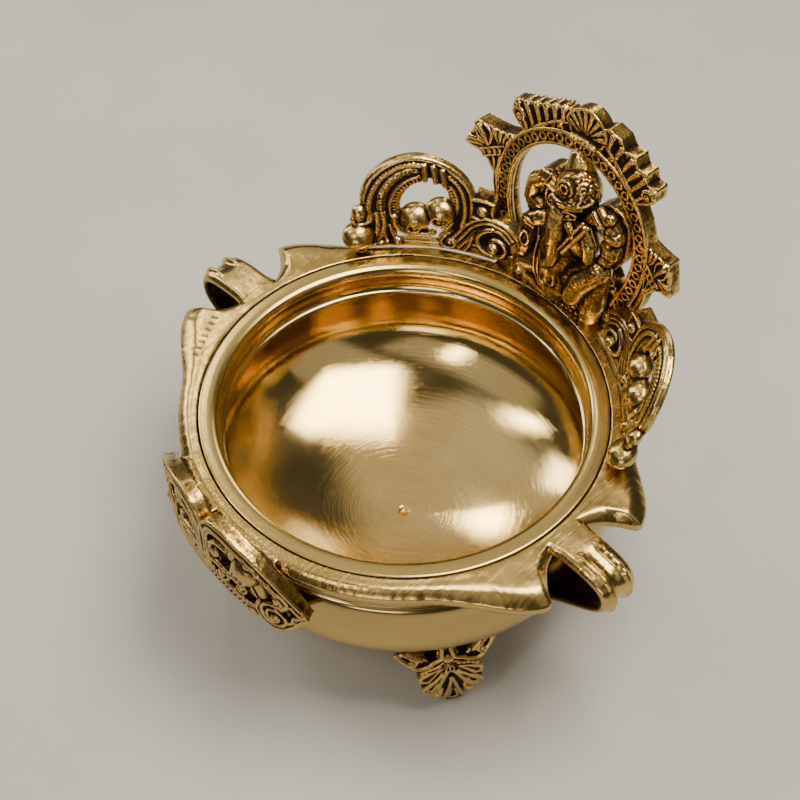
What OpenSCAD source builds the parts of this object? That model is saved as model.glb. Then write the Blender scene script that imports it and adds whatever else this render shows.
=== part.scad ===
// Footed brass urli bowl: a deep round bowl brazed into a flat cusped collar,
// with two strap handles, an openwork back panel around a seated figure,
// a scroll apron on the front edge and three palmette feet.

/* [Bowl] */
// Diameter of the joint line between the bowl's rim and the collar
seam_d = 175; // [160:5:200]
// Diameter of the mouth at the inner edge of the flat rim
mouth_d = 162; // [156:1:166]
// Diameter of the throat ledge below the mouth
throat_d = 153.5; // [146:0.5:155]
// Height from the soles to the flat rim
rim_height = 101.5; // [99:0.5:104]

/* [Collar] */
// Thickness of the collar plate
collar_t = 4; // [3:0.5:5]
// Width of the collar outside the seam
collar_w = 8.5; // [7.5:0.5:10]

/* [Handles] */
// Width of a handle strap
strap_w = 19; // [15:1:22]
// Thickness of a handle strap
strap_t = 4; // [3:0.5:5]
// Height of the two ribs along a strap
rib_h = 1.4; // [0.8:0.2:2]

/* [Back panel] */
// Casting thickness of the arch, finials and crest
panel_t = 8; // [6:0.5:10]
// Backward lean of the arch in degrees
lean = 5; // [3:0.5:7]
// Outer width of the arch ring
ring_w = 86; // [80:1:90]
// Width of the ring's decorated band
ring_band = 8; // [6:0.5:9]

// Casting thickness of the curved openwork wall
wall_t = 4.8; // [4:0.4:7]
// Outward lean of the openwork wall in degrees
wall_lean = 15; // [10:1:18]
// How many degrees further round than its mirror image the right-hand wall stands
wall_turn = 6; // [0:1:8]
// Sideways reach of the right finial compared with the left one
short_reach = 0.65; // [0.5:0.05:1]
// How much lower the right finial sits than the left one
short_fall = 10; // [0:1:12]

/* [Front apron and feet] */
// Casting thickness of the apron scrolls
apron_t = 6; // [5:0.5:8]
// Casting thickness of a foot bracket
foot_t = 9; // [7:0.5:11]

/* [Hidden] */
$fn = 96;

// Inside on_axis() the unit of length is the seam radius, the rim is at z = 0 and
// the bowl's axis is the z axis.
u = seam_d / 2;
mouth_r = mouth_d / 2 / u;
throat_r = throat_d / 2 / u;
drop = rim_height / u;
plate = collar_t / u;
collar_r = 1 + collar_w / u;
strap = strap_t / u;
strap_half = strap_w / 2 / u;
rib = rib_h / u;
slab = panel_t / u;
ring_a = ring_w / 2 / u;
band = ring_band / u;
apron = apron_t / u;
foot = foot_t / u;
fall = short_fall / u;

belly_r = 1.075;
belly_z = -0.46;
wall = 0.045;
belly_depth = 0.465;
panel_y = 1.1;
panel_r = 1.06;
panel = wall_t / u;
boss = 0.11;
ring_z = 0.46;
ring_up = 0.5;
ring_down = 0.62;
crest_top = 1.05;
apron_r = 1.115;
apron_front = apron_r + apron;
foot_r = 0.93;
shelf_r = 1.2;

// The origin is under the middle of the whole object's box.
back_reach = panel_y + slab * cos(lean) + crest_top * sin(lean);
front_reach = apron_front;
axis_y = (front_reach - back_reach) / 2 * u;

function bezier(p, t) = pow(1 - t, 3) * p[0] + 3 * t * pow(1 - t, 2) * p[1]
    + 3 * t * t * (1 - t) * p[2] + pow(t, 3) * p[3];
function curve(p, n = 12) = [for (i = [0 : n]) bezier(p, i / n)];
function reversed(list) = [for (i = [len(list) - 1 : -1 : 0]) list[i]];
function flipped(list) = [for (p = list) [p[0], -p[1]]];
function arc(c, a, b, from, to, n = 16) = [for (i = [0 : n])
    let (t = from + (to - from) * i / n) [c[0] + a * cos(t), c[1] + b * sin(t)]];
// A line of points moved sideways by d.
function beside(line, d) = [for (i = [0 : len(line) - 1])
    let (a = line[max(i - 1, 0)], b = line[min(i + 1, len(line) - 1)], v = (b - a) / norm(b - a))
    line[i] + d * [-v[1], v[0]]];

module on_axis() {
    translate([0, axis_y, rim_height]) scale(u) children();
}

// An outline in (sideways, up), extruded outwards from r1 to r2 at a bearing.
// Seen from the bowl's axis, and then seen from outside.
module facing_in(bearing, r1, r2) {
    rotate([0, 0, bearing - 90]) translate([0, r2, 0]) rotate([90, 0, 0]) linear_extrude(r2 - r1) children();
}
module facing_out(bearing, r1, r2) {
    rotate([0, 0, bearing + 90]) translate([0, -r1, 0]) rotate([90, 0, 0]) linear_extrude(r2 - r1) children();
}

module shell(r1, r2, z1, z2) {
    translate([0, 0, z1]) difference() {
        cylinder(r = r2, h = z2 - z1);
        translate([0, 0, -1]) cylinder(r = r1, h = z2 - z1 + 2);
    }
}

module ribbon(line, d1, d2) {
    polygon(concat(beside(line, d1), reversed(beside(line, -d2))));
}

// ---- bowl -----------------------------------------------------------------

outer_wall = concat(
    [[1, 0], [1, -plate], [1.035, -plate], [1.035, -0.075], [1.015, -0.082], [1.015, -0.092], [1.045, -0.1],
        [1.045, -0.17]],
    arc([1.045, -0.215], 0.025, 0.045, 90, 180, 6),
    arc([1.02, belly_z], belly_r - 1.02, 0.24, 90, 0, 12),
    arc([0, belly_z], belly_r, belly_depth, 0, -90, 24));
inner_wall = concat(
    [[mouth_r, 0]],
    arc([mouth_r, -0.09], 0.032, 0.085, 95, 180, 6),
    arc([throat_r + 0.012, -0.157], 0.012, 0.014, 90, 270, 8),
    arc([throat_r + 0.01, belly_z], belly_r - wall - throat_r - 0.01, 0.27, 90, 0, 12),
    arc([0, belly_z], belly_r - wall, belly_depth - wall, 0, -90, 24));

module bowl_envelope() {
    rotate_extrude($fn = 128) polygon(concat([[0, 0]], outer_wall));
}

module bowl() {
    color("goldenrod") on_axis() rotate_extrude($fn = 128) polygon(concat(outer_wall, reversed(inner_wall)));
}

// ---- collar ---------------------------------------------------------------

// The right half of the outline: plain rim, cusp, notch for the strap, cusp, plain rim and a shelf for the arch.
cusp_start = [0.82, 0.735];
notch_corner = [1.073, 0.105];
shelf_half = 0.36;
cusp = concat(
    curve([cusp_start, [0.98, 0.54], [1.2, 0.47], [1.25, 0.32]], 10),
    curve([[1.245, 0.28], [1.17, 0.25], [1.1, 0.2], notch_corner], 8));
cusp_bearing = atan2(cusp_start[1], cusp_start[0]);
half_outline = concat(
    arc([0, 0], collar_r, collar_r, -90, -cusp_bearing - 1, 12),
    flipped(cusp),
    reversed(cusp),
    arc([0, 0], collar_r, collar_r, cusp_bearing + 1, acos(shelf_half / collar_r), 8),
    arc([0, 0], shelf_r, shelf_r, acos(shelf_half / shelf_r), 90, 6));

module collar() {
    color("khaki") on_axis() translate([0, 0, -plate]) difference() {
        linear_extrude(plate) polygon(concat(half_outline, reversed([for (p = half_outline) [-p[0], p[1]]])));
        translate([0, 0, -1]) cylinder(r = 1, h = 2, $fn = 128);
    }
}

// ---- handles --------------------------------------------------------------

strap_line = concat(
    curve([[1.05, -strap / 2], [1.28, -strap / 2], [1.4, -0.04], [1.385, -0.15]], 14),
    curve([[1.378, -0.18], [1.36, -0.25], [1.2, -0.31], [1.06, -0.43]], 12));

module handle(side) {
    color("khaki") on_axis() mirror([side < 0 ? 1 : 0, 0, 0]) difference() {
        union() {
            rotate([90, 0, 0]) linear_extrude(2 * strap_half, center = true) ribbon(strap_line, strap / 2, strap / 2);
            for (y = [-0.055, 0.055]) translate([0, y, 0])
                rotate([90, 0, 0]) linear_extrude(0.035, center = true) intersection() {
                    ribbon(strap_line, strap / 2 + rib, 0);
                    translate([1.17, -0.3]) square([0.3, 0.4]);
                }
        }
        bowl_envelope();
        translate([0, 0, -plate]) linear_extrude(1) union() {
            circle(1.06);
            polygon([[0, 0], [1.073, -0.105], [1.073, 0.105]]);
        }
    }
}

module handle_left() {
    handle(-1);
}

module handle_right() {
    handle(1);
}

// ---- back panel -----------------------------------------------------------

// The arch, figure, finials and crest are flat slabs on a plane that leans back.
module on_arch(forward = 0, depth = slab) {
    color("darkgoldenrod") on_axis() translate([0, panel_y, 0]) rotate([-lean, 0, 0])
        translate([0, depth - forward, 0]) rotate([90, 0, 0]) linear_extrude(depth) children();
}

module horseshoe(shrink) {
    polygon(concat(
        arc([0, ring_z], ring_a - shrink, ring_up - shrink, 0, 180, 32),
        arc([0, ring_z], ring_a - shrink, ring_down - shrink, 180, 228, 8),
        arc([0, ring_z], ring_a - shrink, ring_down - shrink, 312, 360, 8)));
}

module arch_ring() {
    difference() {
        on_arch() difference() {
            horseshoe(0);
            horseshoe(band);
            translate([-1, -1]) square([2, 1]);
        }
        below_rim();
    }
}

module below_rim() {
    on_axis() translate([-1, 0, -1]) cube([2, 2, 1]);
}

module seat_outline() {
    intersection() {
        horseshoe(band);
        translate([-0.3, -0.2]) square([0.6, 0.32]);
    }
}

// A limb from one point to another, in (sideways, towards the back, up).
module limb(p, q, r) {
    v = q - p;
    translate(p) rotate([0, acos(v[2] / norm(v)), atan2(v[1], v[0])]) cylinder(r = r, h = norm(v), $fn = 32);
    translate(p) sphere(r = r, $fn = 32);
    translate(q) sphere(r = r, $fn = 32);
}

module figure_body() {
    y = -0.02;
    translate([0, y, 0.1]) cylinder(r1 = 0.11, r2 = 0.07, h = 0.56);
    translate([0, y - 0.03, 0.32]) sphere(r = 0.13, $fn = 48);
    translate([0, y - 0.01, 0.67]) sphere(r = 0.115, $fn = 48);
    translate([0, y + 0.01, 0.7]) cylinder(r1 = 0.09, r2 = 0.05, h = 0.17);
    limb([0, y - 0.07, 0.6], [0.01, y - 0.12, 0.4], 0.04);
    for (side = [-1, 1]) {
        limb([side * 0.05, y, 0.5], [side * 0.21, y, 0.63], 0.042);
        limb([side * 0.21, y, 0.63], [side * 0.29, y, 0.55], 0.042);
        limb([side * 0.29, y, 0.55], [side * 0.26, y, 0.41], 0.04);
        limb([side * 0.06, y - 0.02, 0.2], [side * 0.22, y - 0.05, 0.28], 0.06);
        limb([side * 0.22, y - 0.05, 0.28], [side * 0.12, y - 0.06, 0.12], 0.055);
    }
}

module seated_figure() {
    difference() {
        union() {
            on_arch(0.045, slab + 0.045) seat_outline();
            color("darkgoldenrod") on_axis() translate([0, panel_y, 0]) rotate([-lean, 0, 0]) figure_body();
        }
        below_rim();
        on_arch(0.2, 0.5) difference() {
            square([2, 3], center = true);
            horseshoe(band);
        }
    }
}

// Points measured outwards from the ring's side, stretched sideways.
function reaching(points, stretch) = [for (p = points) [ring_a + (p[0] - ring_a) * stretch, p[1]]];

module finial(side, stretch, lower) {
    on_arch() mirror([side < 0 ? 1 : 0, 0]) difference() {
        translate([0, -lower]) polygon(reaching(concat(
            [[0.4, 0.3], [0.488, 0.3]],
            curve([[0.51, 0.36], [0.52, 0.43], [0.58, 0.46], [0.71, 0.45]], 8),
            curve([[0.71, 0.46], [0.68, 0.52], [0.66, 0.58], [0.64, 0.66]], 6),
            curve([[0.63, 0.665], [0.55, 0.66], [0.48, 0.68], [0.4, 0.72]], 8)), stretch));
        horseshoe(0);
    }
}

module finial_left() {
    finial(-1, 1, 0);
}

module finial_right() {
    finial(1, short_reach, fall);
}

// Right half of the crest: the leaf from its curled tip upwards, then the palmette.
palmette_r = 0.12;
half_crest = concat(
    [[0.3, 0.76]],
    curve([[0.32, 0.78], [0.36, 0.74], [0.42, 0.74], [0.45, 0.82]], 6),
    curve([[0.44, 0.86], [0.37, 0.93], [0.32, 0.95], [0.24, 0.96]], 6),
    curve([[0.22, 0.99], [0.19, 1.01], [0.16, 1.01], [0.13, 1.0]], 5),
    arc([0, crest_top - palmette_r], palmette_r, palmette_r, 40, 90, 8));

module crest() {
    on_arch() difference() {
        polygon(concat(half_crest, reversed([for (p = half_crest) [-p[0], p[1]]])));
        horseshoe(0);
        for (side = [-1, 1]) translate([side * 0.1, 0.965]) circle(0.018, $fn = 32);
    }
}

// Half of the curved openwork wall, standing on the collar to the left of the arch.
scroll_bearing = 127.8;
scroll_top = 0.8;

module ellipse(c, a, b) {
    polygon(arc(c, a, b, 0, 348.75, 31));
}

module scroll_outline() {
    difference() {
        union() {
            ellipse([-0.08, 0.28], 0.28, 0.222);
            ribbon(curve([[-0.33, 0.28], [-0.34, 0.16], [-0.26, 0.1], [-0.27, 0]], 8), 0.05, 0.06);
            ribbon(curve([[-0.27, 0.03], [-0.2, 0.08], [-0.1, 0.05], [-0.02, 0.09]], 8), 0.04, 0.04);
            translate([-0.17, 0.02]) circle(0.04, $fn = 32);
            translate([0.09, 0.04]) circle(0.06);
            ribbon(curve([[0.06, 0.08], [0.14, 0.15], [0.22, 0.2], [0.4, 0.15]], 8), 0.04, 0.035);
            translate([0.34, 0.08]) circle(0.105);
            translate([0.18, 0.13]) square([0.13, 0.18]);
            translate([0.12, 0]) square([0.2, 0.05]);
        }
        ellipse([-0.045, 0.29], 0.11, 0.085);
        translate([-1, -1]) square([2, 1]);
    }
}

// An upright wall that leans outwards, t thick.
module leaning_shell(t) {
    slope = tan(wall_lean);
    difference() {
        cylinder(r1 = panel_r + t, r2 = panel_r + t + slope * scroll_top, h = scroll_top);
        translate([0, 0, -1]) cylinder(r1 = panel_r - slope, r2 = panel_r + slope * (scroll_top + 1), h = scroll_top + 2);
    }
}

module scroll_wall() {
    intersection() {
        facing_in(scroll_bearing, 0.8, 1.5) scroll_outline();
        leaning_shell(panel);
    }
    // The inner end is thicker and backs onto the arch.
    intersection() {
        facing_in(scroll_bearing, 0.8, 1.5) intersection() {
            scroll_outline();
            translate([0.2, 0]) square([0.4, 0.4]);
        }
        leaning_shell(boss);
    }
    rotate([0, 0, scroll_bearing - 90]) {
        translate([-0.08, 1.11, 0.165]) sphere(r = 0.075, $fn = 48);
        translate([0.05, 1.12, 0.21]) sphere(r = 0.07, $fn = 48);
        translate([-0.375, 1.02, 0.08]) sphere(r = 0.08, $fn = 48);
        translate([-0.365, 1.06, 0.2]) sphere(r = 0.05, $fn = 32);
    }
}

module back_scroll(side) {
    color("peru") difference() {
        on_axis() rotate([0, 0, side > 0 ? -wall_turn : 0]) mirror([side > 0 ? 1 : 0, 0, 0]) scroll_wall();
        on_arch(0, 0.4) translate([-0.5, -0.5]) square([1, 2]);
        below_rim();
    }
}

module back_scroll_left() {
    back_scroll(-1);
}

module back_scroll_right() {
    back_scroll(1);
}

// ---- front apron ----------------------------------------------------------

apron_bearing = -97;
apron_half = 18;

module apron_outline() {
    difference() {
        polygon(concat(
            [[-0.45, -0.44], [-0.45, 0.0], [-0.36, 0.0]],
            curve([[-0.34, 0.1], [-0.22, 0.13], [0.08, 0.06], [0.26, -0.2]], 12),
            [[0.3, -0.25]],
            curve([[0.28, -0.3], [0.2, -0.34], [0.16, -0.42], [0.06, -0.42]], 8),
            curve([[0.0, -0.42], [-0.1, -0.44], [-0.2, -0.46], [-0.36, -0.44]], 8)));
        translate([0.13, -0.14]) circle(0.045);
        translate([-0.03, -0.3]) circle(0.035);
    }
}

module front_scroll(side) {
    color("peru") on_axis() rotate([0, 0, apron_bearing + 90]) mirror([side < 0 ? 1 : 0, 0, 0]) difference() {
        union() {
            intersection() {
                facing_out(apron_half - 90, 0.8, 1.4) apron_outline();
                shell(apron_r, apron_front, -0.5, 0.15);
            }
            intersection() {
                rotate([0, 0, apron_half]) union() {
                    translate([-0.02, -apron_r, -0.18]) sphere(r = 0.085, $fn = 48);
                    translate([0.14, -apron_r, -0.33]) sphere(r = 0.085, $fn = 48);
                }
                cylinder(r = apron_front, h = 2, center = true);
            }
            // Cleat that sits on the collar's edge.
            intersection() {
                facing_out(apron_half - 90, 0.8, 1.4) translate([-0.45, 0]) square([0.6, 0.03]);
                shell(1.05, apron_front, 0, 0.03);
            }
        }
        translate([-2, -2, -1]) cube([2, 4, 2]);
        translate([0, 0, -1]) cylinder(r = collar_r, h = 1);
        rotate([0, 0, -90 - apron_bearing]) bowl_envelope();
    }
}

module front_scroll_left() {
    front_scroll(-1);
}

module front_scroll_right() {
    front_scroll(1);
}

// ---- feet -----------------------------------------------------------------

// Side view of a foot bracket in (outwards, up): the front face, which comes out from
// under the belly, and the back face about one casting thickness behind it.
foot_front = curve([[0.985, -0.63], [1.1, -0.78], [1.06, -0.98], [1.0, -drop]], 12);
foot_rear = curve([[0.8, -0.66], [1.12 - foot, -0.78], [1.07 - foot, -0.98], [foot_r, -drop]], 12);

module foot_profile() {
    polygon(concat(foot_front, reversed(foot_rear)));
}

module palmette() {
    difference() {
        union() {
            translate([0, -1.02]) circle(0.085);
            translate([-0.06, -drop]) square([0.12, 0.14]);
            for (side = [-1, 1]) {
                translate([side * 0.1, -0.96]) circle(0.06, $fn = 48);
                translate([side * 0.14, -0.85]) circle(0.08, $fn = 48);
                translate([side * 0.2, -0.66]) circle(0.09, $fn = 48);
            }
            translate([-0.17, -0.92]) square([0.34, 0.36]);
        }
        for (side = [-1, 1]) translate([side * 0.13, -0.67]) circle(0.04, $fn = 32);
    }
}

module foot_at(bearing) {
    color("sienna") on_axis() difference() {
        intersection() {
            facing_in(bearing, 0.7, 1.4) palmette();
            rotate([0, 0, bearing]) rotate([90, 0, 0]) linear_extrude(1, center = true) foot_profile();
        }
        bowl_envelope();
    }
}

module foot_front_left() {
    foot_at(-150);
}

module foot_front_right() {
    foot_at(-30);
}

module foot_back() {
    foot_at(90);
}

bowl();
collar();
handle_left();
handle_right();
arch_ring();
seated_figure();
finial_left();
finial_right();
crest();
back_scroll_left();
back_scroll_right();
front_scroll_left();
front_scroll_right();
foot_front_left();
foot_front_right();
foot_back();
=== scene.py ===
"""Looks for the brass urli bowl: a lathe-turned bowl in a filed collar, with cast openwork ornaments."""

import math

import bpy
import numpy as np
from mathutils import Matrix, Vector, noise

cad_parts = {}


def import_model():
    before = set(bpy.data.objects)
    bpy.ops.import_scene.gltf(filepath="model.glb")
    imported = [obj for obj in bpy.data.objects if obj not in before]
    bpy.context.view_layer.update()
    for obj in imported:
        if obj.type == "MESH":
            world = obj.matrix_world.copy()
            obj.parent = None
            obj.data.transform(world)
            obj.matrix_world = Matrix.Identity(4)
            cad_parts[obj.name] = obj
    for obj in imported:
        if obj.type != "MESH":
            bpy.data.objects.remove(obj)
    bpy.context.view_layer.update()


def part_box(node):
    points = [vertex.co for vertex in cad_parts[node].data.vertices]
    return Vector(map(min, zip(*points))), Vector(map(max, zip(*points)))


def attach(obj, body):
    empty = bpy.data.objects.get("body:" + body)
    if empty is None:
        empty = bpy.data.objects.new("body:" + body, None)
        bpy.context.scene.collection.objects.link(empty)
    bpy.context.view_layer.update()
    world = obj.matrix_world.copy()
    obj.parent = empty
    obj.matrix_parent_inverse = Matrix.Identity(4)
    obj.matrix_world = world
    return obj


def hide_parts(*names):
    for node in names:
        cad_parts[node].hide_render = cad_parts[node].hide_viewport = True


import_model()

# ---- the frame: the seam radius is the unit, the rim is z = 0, the bowl's axis is x = y = 0 ----
SEAM_MM = 87.5
BELLY, BELLY_Z, BELLY_HALF = 1.075, -0.46, 0.465  # the belly's radius, middle height and half height
bowl_low, bowl_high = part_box("bowl")
UNIT = (bowl_high.x - bowl_low.x) / 2 / BELLY
AXIS_Y = (bowl_high.y + bowl_low.y) / 2
RIM_Z = bowl_high.z
DROP = RIM_Z / UNIT  # the rim's height over the floor
PLATE = 4 / SEAM_MM  # thickness of the collar and the handles
PANEL_Y = 1.1  # the arch's front plane at the rim
LEAN = math.radians(5)
RING_Z, RING_HALF, RING_UP, RING_DOWN = 0.46, 43 / SEAM_MM, 0.5, 0.62  # middle, half width, up and down
BAND = 8 / SEAM_MM  # width of the ring's band
SLAB = 8 / SEAM_MM  # thickness of the arch


def world(points):
    """Points in units about the bowl's axis, as metres in the row frame."""
    points = np.asarray(points, float)
    return points * UNIT + np.array([0, AXIS_Y, RIM_Z])


# ---- lines ----
def bezier(p0, p1, p2, p3, n=16):
    t = np.linspace(0, 1, n)[:, None]
    p0, p1, p2, p3 = (np.array(p, float) for p in (p0, p1, p2, p3))
    return (1 - t) ** 3 * p0 + 3 * t * (1 - t) ** 2 * p1 + 3 * t * t * (1 - t) * p2 + t**3 * p3


def arc(centre, a, b, start, end, n=16):
    t = np.radians(np.linspace(start, end, n))
    return np.stack([centre[0] + a * np.cos(t), centre[1] + b * np.sin(t)], 1)


def smooth(points, step=0.012):
    """A smooth line through the points, with its own points about step apart."""
    p = np.asarray(points, float)
    p = np.vstack([2 * p[0] - p[1], p, 2 * p[-1] - p[-2]])
    line = []
    for a, b, c, d in zip(p, p[1:], p[2:], p[3:]):
        n = max(2, int(np.linalg.norm(c - b) / step) + 1)
        for t in np.arange(n) / n:
            line.append(0.5 * (2 * b + (c - a) * t + (2 * a - 5 * b + 4 * c - d) * t**2
                               + (3 * b - a - 3 * c + d) * t**3))
    line.append(p[-2])
    return np.array(line)


def even(line, step):
    """The line's points at equal steps."""
    line = np.asarray(line, float)
    far = np.concatenate([[0], np.cumsum(np.linalg.norm(np.diff(line, axis=0), axis=1))])
    at = np.linspace(0, far[-1], max(2, int(round(far[-1] / step)) + 1))
    return np.stack([np.interp(at, far, line[:, k]) for k in range(line.shape[1])], 1)


def normals(line):
    along = np.gradient(line, axis=0)
    along /= np.linalg.norm(along, axis=1)[:, None] + 1e-12
    return np.stack([-along[:, 1], along[:, 0]], 1)


def beside(line, d):
    return line + normals(line) * d


def swirl(centre, radius, turns, start, inner=0.12, n=60):
    """A spiral that winds inwards from radius; a negative number of turns winds clockwise."""
    t = np.linspace(0, 1, n)
    angle = np.radians(start) + t * turns * 2 * math.pi
    r = radius * (1 - (1 - inner) * t)
    return np.stack([centre[0] + r * np.cos(angle), centre[1] + r * np.sin(angle)], 1)


# ---- meshes ----
def make_mesh(name, verts, faces, material=None, shade=True):
    mesh = bpy.data.meshes.new(name)
    mesh.from_pydata([tuple(v) for v in verts], [], [tuple(int(i) for i in f) for f in faces])
    mesh.validate()
    ob = bpy.data.objects.new(name, mesh)
    bpy.context.scene.collection.objects.link(ob)
    if material:
        mesh.materials.append(material)
    if shade:
        mesh.shade_smooth()
    return ob


def lathe(profile, segments):
    """Vertices and faces of a closed solid of revolution; profile is (radius, z), both ends on the axis."""
    profile = np.asarray(profile, float)
    turn = np.linspace(0, 2 * math.pi, segments, endpoint=False)
    verts = [(0, 0, profile[0][1])]
    for r, z in profile[1:-1]:
        verts += [(r * math.cos(t), r * math.sin(t), z) for t in turn]
    verts.append((0, 0, profile[-1][1]))
    rows = len(profile) - 2
    faces = []
    for i in range(segments):
        j = (i + 1) % segments
        faces.append((0, 1 + j, 1 + i))
        for k in range(rows - 1):
            a, b = 1 + k * segments, 1 + (k + 1) * segments
            faces.append((a + i, a + j, b + j, b + i))
        last = 1 + (rows - 1) * segments
        faces.append((last + i, last + j, len(verts) - 1))
    return np.array(verts), faces


def skin(rows, size):
    """Faces of a tube with capped ends: rows sections of size points each."""
    faces = [tuple(range(size)), tuple(range((rows - 1) * size, rows * size))[::-1]]
    for a in range(0, (rows - 1) * size, size):
        b = a + size
        faces += [(a + k, b + k, b + (k + 1) % size, a + (k + 1) % size) for k in range(size)]
    return faces


def settle(ob, node):
    """Attaches the piece to the root body and hides the CAD node that it replaces."""
    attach(ob, "root")
    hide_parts(node)
    return ob


def perlin(points, scale, seed=0.0):
    """Perlin noise at each point, from -1 to 1."""
    shift = Vector((seed * 7.3, seed * 3.1, seed * 5.7))
    return np.array([noise.noise(Vector(p) * scale + shift) for p in points])


# ---- materials ----
class Nodes:
    """A short way to build one material's node tree."""

    def __init__(self, name):
        self.material = bpy.data.materials.new(name)
        self.material.use_nodes = True
        self.tree = self.material.node_tree
        self.shader = self.tree.nodes["Principled BSDF"]
        self.coords = self.add("ShaderNodeTexCoord").outputs["Object"]

    def plug(self, socket, value):
        """Links another node's socket, or sets a plain value."""
        if isinstance(value, bpy.types.NodeSocket):
            self.tree.links.new(value, socket)
        else:
            socket.default_value = value

    def add(self, kind, **inputs):
        node = self.tree.nodes.new(kind)
        for key, value in inputs.items():
            self.plug(node.inputs[key.replace("_", " ")], value)
        return node

    def maths(self, operation, a, b=0.0, clamp=False):
        node = self.tree.nodes.new("ShaderNodeMath")
        node.operation = operation
        node.use_clamp = clamp
        for socket, value in zip(node.inputs, (a, b)):
            self.plug(socket, value)
        return node.outputs[0]

    def times(self, a, b):
        return self.maths("MULTIPLY", a, b)

    def plus(self, a, b, clamp=False):
        return self.maths("ADD", a, b, clamp)

    def minus(self, a, b):
        return self.maths("SUBTRACT", a, b)

    def xyz(self, vector):
        return self.add("ShaderNodeSeparateXYZ", Vector=vector).outputs

    def noise(self, scale, detail, rough, vector=None):
        node = self.add("ShaderNodeTexNoise", Vector=vector or self.coords, Scale=scale, Detail=detail,
                        Roughness=rough)
        return node.outputs["Fac"]

    def ramp(self, fac, *stops):
        node = self.add("ShaderNodeValToRGB", Fac=fac)
        ends = node.color_ramp.elements
        while len(ends) < len(stops):
            ends.new(0.5)
        for end, (place, colour) in zip(ends, stops):
            end.position = place
            end.color = (*colour, 1)
        return node.outputs["Color"]

    def span(self, value, low, high, out_low, out_high):
        node = self.add("ShaderNodeMapRange", Value=value, From_Min=low, From_Max=high, To_Min=out_low,
                        To_Max=out_high)
        return node.outputs["Result"]

    def mix(self, fac, a, b):
        """Colour a where fac is 0 and colour b where it is 1."""
        node = self.tree.nodes.new("ShaderNodeMix")
        node.data_type = "RGBA"
        for index, value in ((0, fac), (6, a), (7, b)):
            self.plug(node.inputs[index], (*value, 1) if isinstance(value, tuple) else value)
        return node.outputs[2]

    def tag(self, name):
        """A number that the mesh carries at its points."""
        node = self.add("ShaderNodeAttribute")
        node.attribute_name = name
        return node.outputs["Fac"]

    def polar(self):
        """Radius about the bowl's axis and height, in metres, and the bearing in radians."""
        x, y, z = self.xyz(self.coords)
        y = self.minus(y, AXIS_Y)
        radius = self.maths("SQRT", self.plus(self.times(x, x), self.times(y, y)))
        return radius, z, self.maths("ARCTAN2", y, x)

    def outward(self, radius):
        """How squarely the surface faces away from the bowl's axis."""
        at = self.xyz(self.coords)
        to = self.xyz(self.add("ShaderNodeNewGeometry").outputs["Normal"])
        along_x = self.times(at["X"], to["X"])
        along_y = self.times(self.minus(at["Y"], AXIS_Y), to["Y"])
        return self.maths("DIVIDE", self.plus(along_x, along_y), radius)

    def seam(self, colour, radius, height):
        """Darkens the joint line between bowl and collar."""
        off = self.maths("ABSOLUTE", self.minus(radius, UNIT))
        near = self.span(off, 0.00015, 0.00045, 1.0, 0.0)
        high = self.span(height, RIM_Z - 0.006, RIM_Z - 0.004, 0.0, 0.92)
        return self.mix(self.times(near, high), colour, (0.05, 0.03, 0.012))

    def chisel(self, a, b, count, reach):
        """1 on each of count short cuts across the line from a to b, in units, and 0 elsewhere."""
        a, b = Vector(a), Vector(b)
        way = (b - a) / (b - a).length
        at = self.xyz(self.coords)
        x = self.minus(self.maths("DIVIDE", at["X"], UNIT), a.x)
        y = self.minus(self.maths("DIVIDE", self.minus(at["Y"], AXIS_Y), UNIT), a.y)
        along = self.plus(self.times(x, way.x), self.times(y, way.y))
        across = self.maths("ABSOLUTE", self.minus(self.times(x, -way.y), self.times(y, -way.x)))
        share = self.maths("DIVIDE", along, (b - a).length)
        wave = self.maths("PINGPONG", self.times(share, count), 0.5)
        beside_line = self.span(across, reach * 0.7, reach, 1.0, 0.0)
        mark = self.times(self.span(wave, 0.3, 0.42, 0.0, 1.0), beside_line)
        middle = self.maths("ABSOLUTE", self.minus(share, 0.5))
        return self.times(mark, self.span(middle, 0.5, 0.51, 1.0, 0.0))

    def join(self, x, y, z):
        node = self.tree.nodes.new("ShaderNodeCombineXYZ")
        for socket, value in zip(node.inputs, (x, y, z)):
            self.plug(socket, value)
        return node.outputs[0]

    def bump(self, height, distance, strength=1.0, under=None):
        node = self.add("ShaderNodeBump", Height=height, Distance=distance, Strength=strength)
        if under:
            self.tree.links.new(under, node.inputs["Normal"])
        return node.outputs["Normal"]

    def finish(self, **sockets):
        for key, value in sockets.items():
            self.plug(self.shader.inputs[key.replace("_", " ")], value)
        self.shader.inputs["Metallic"].default_value = 1.0
        return self.material


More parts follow.
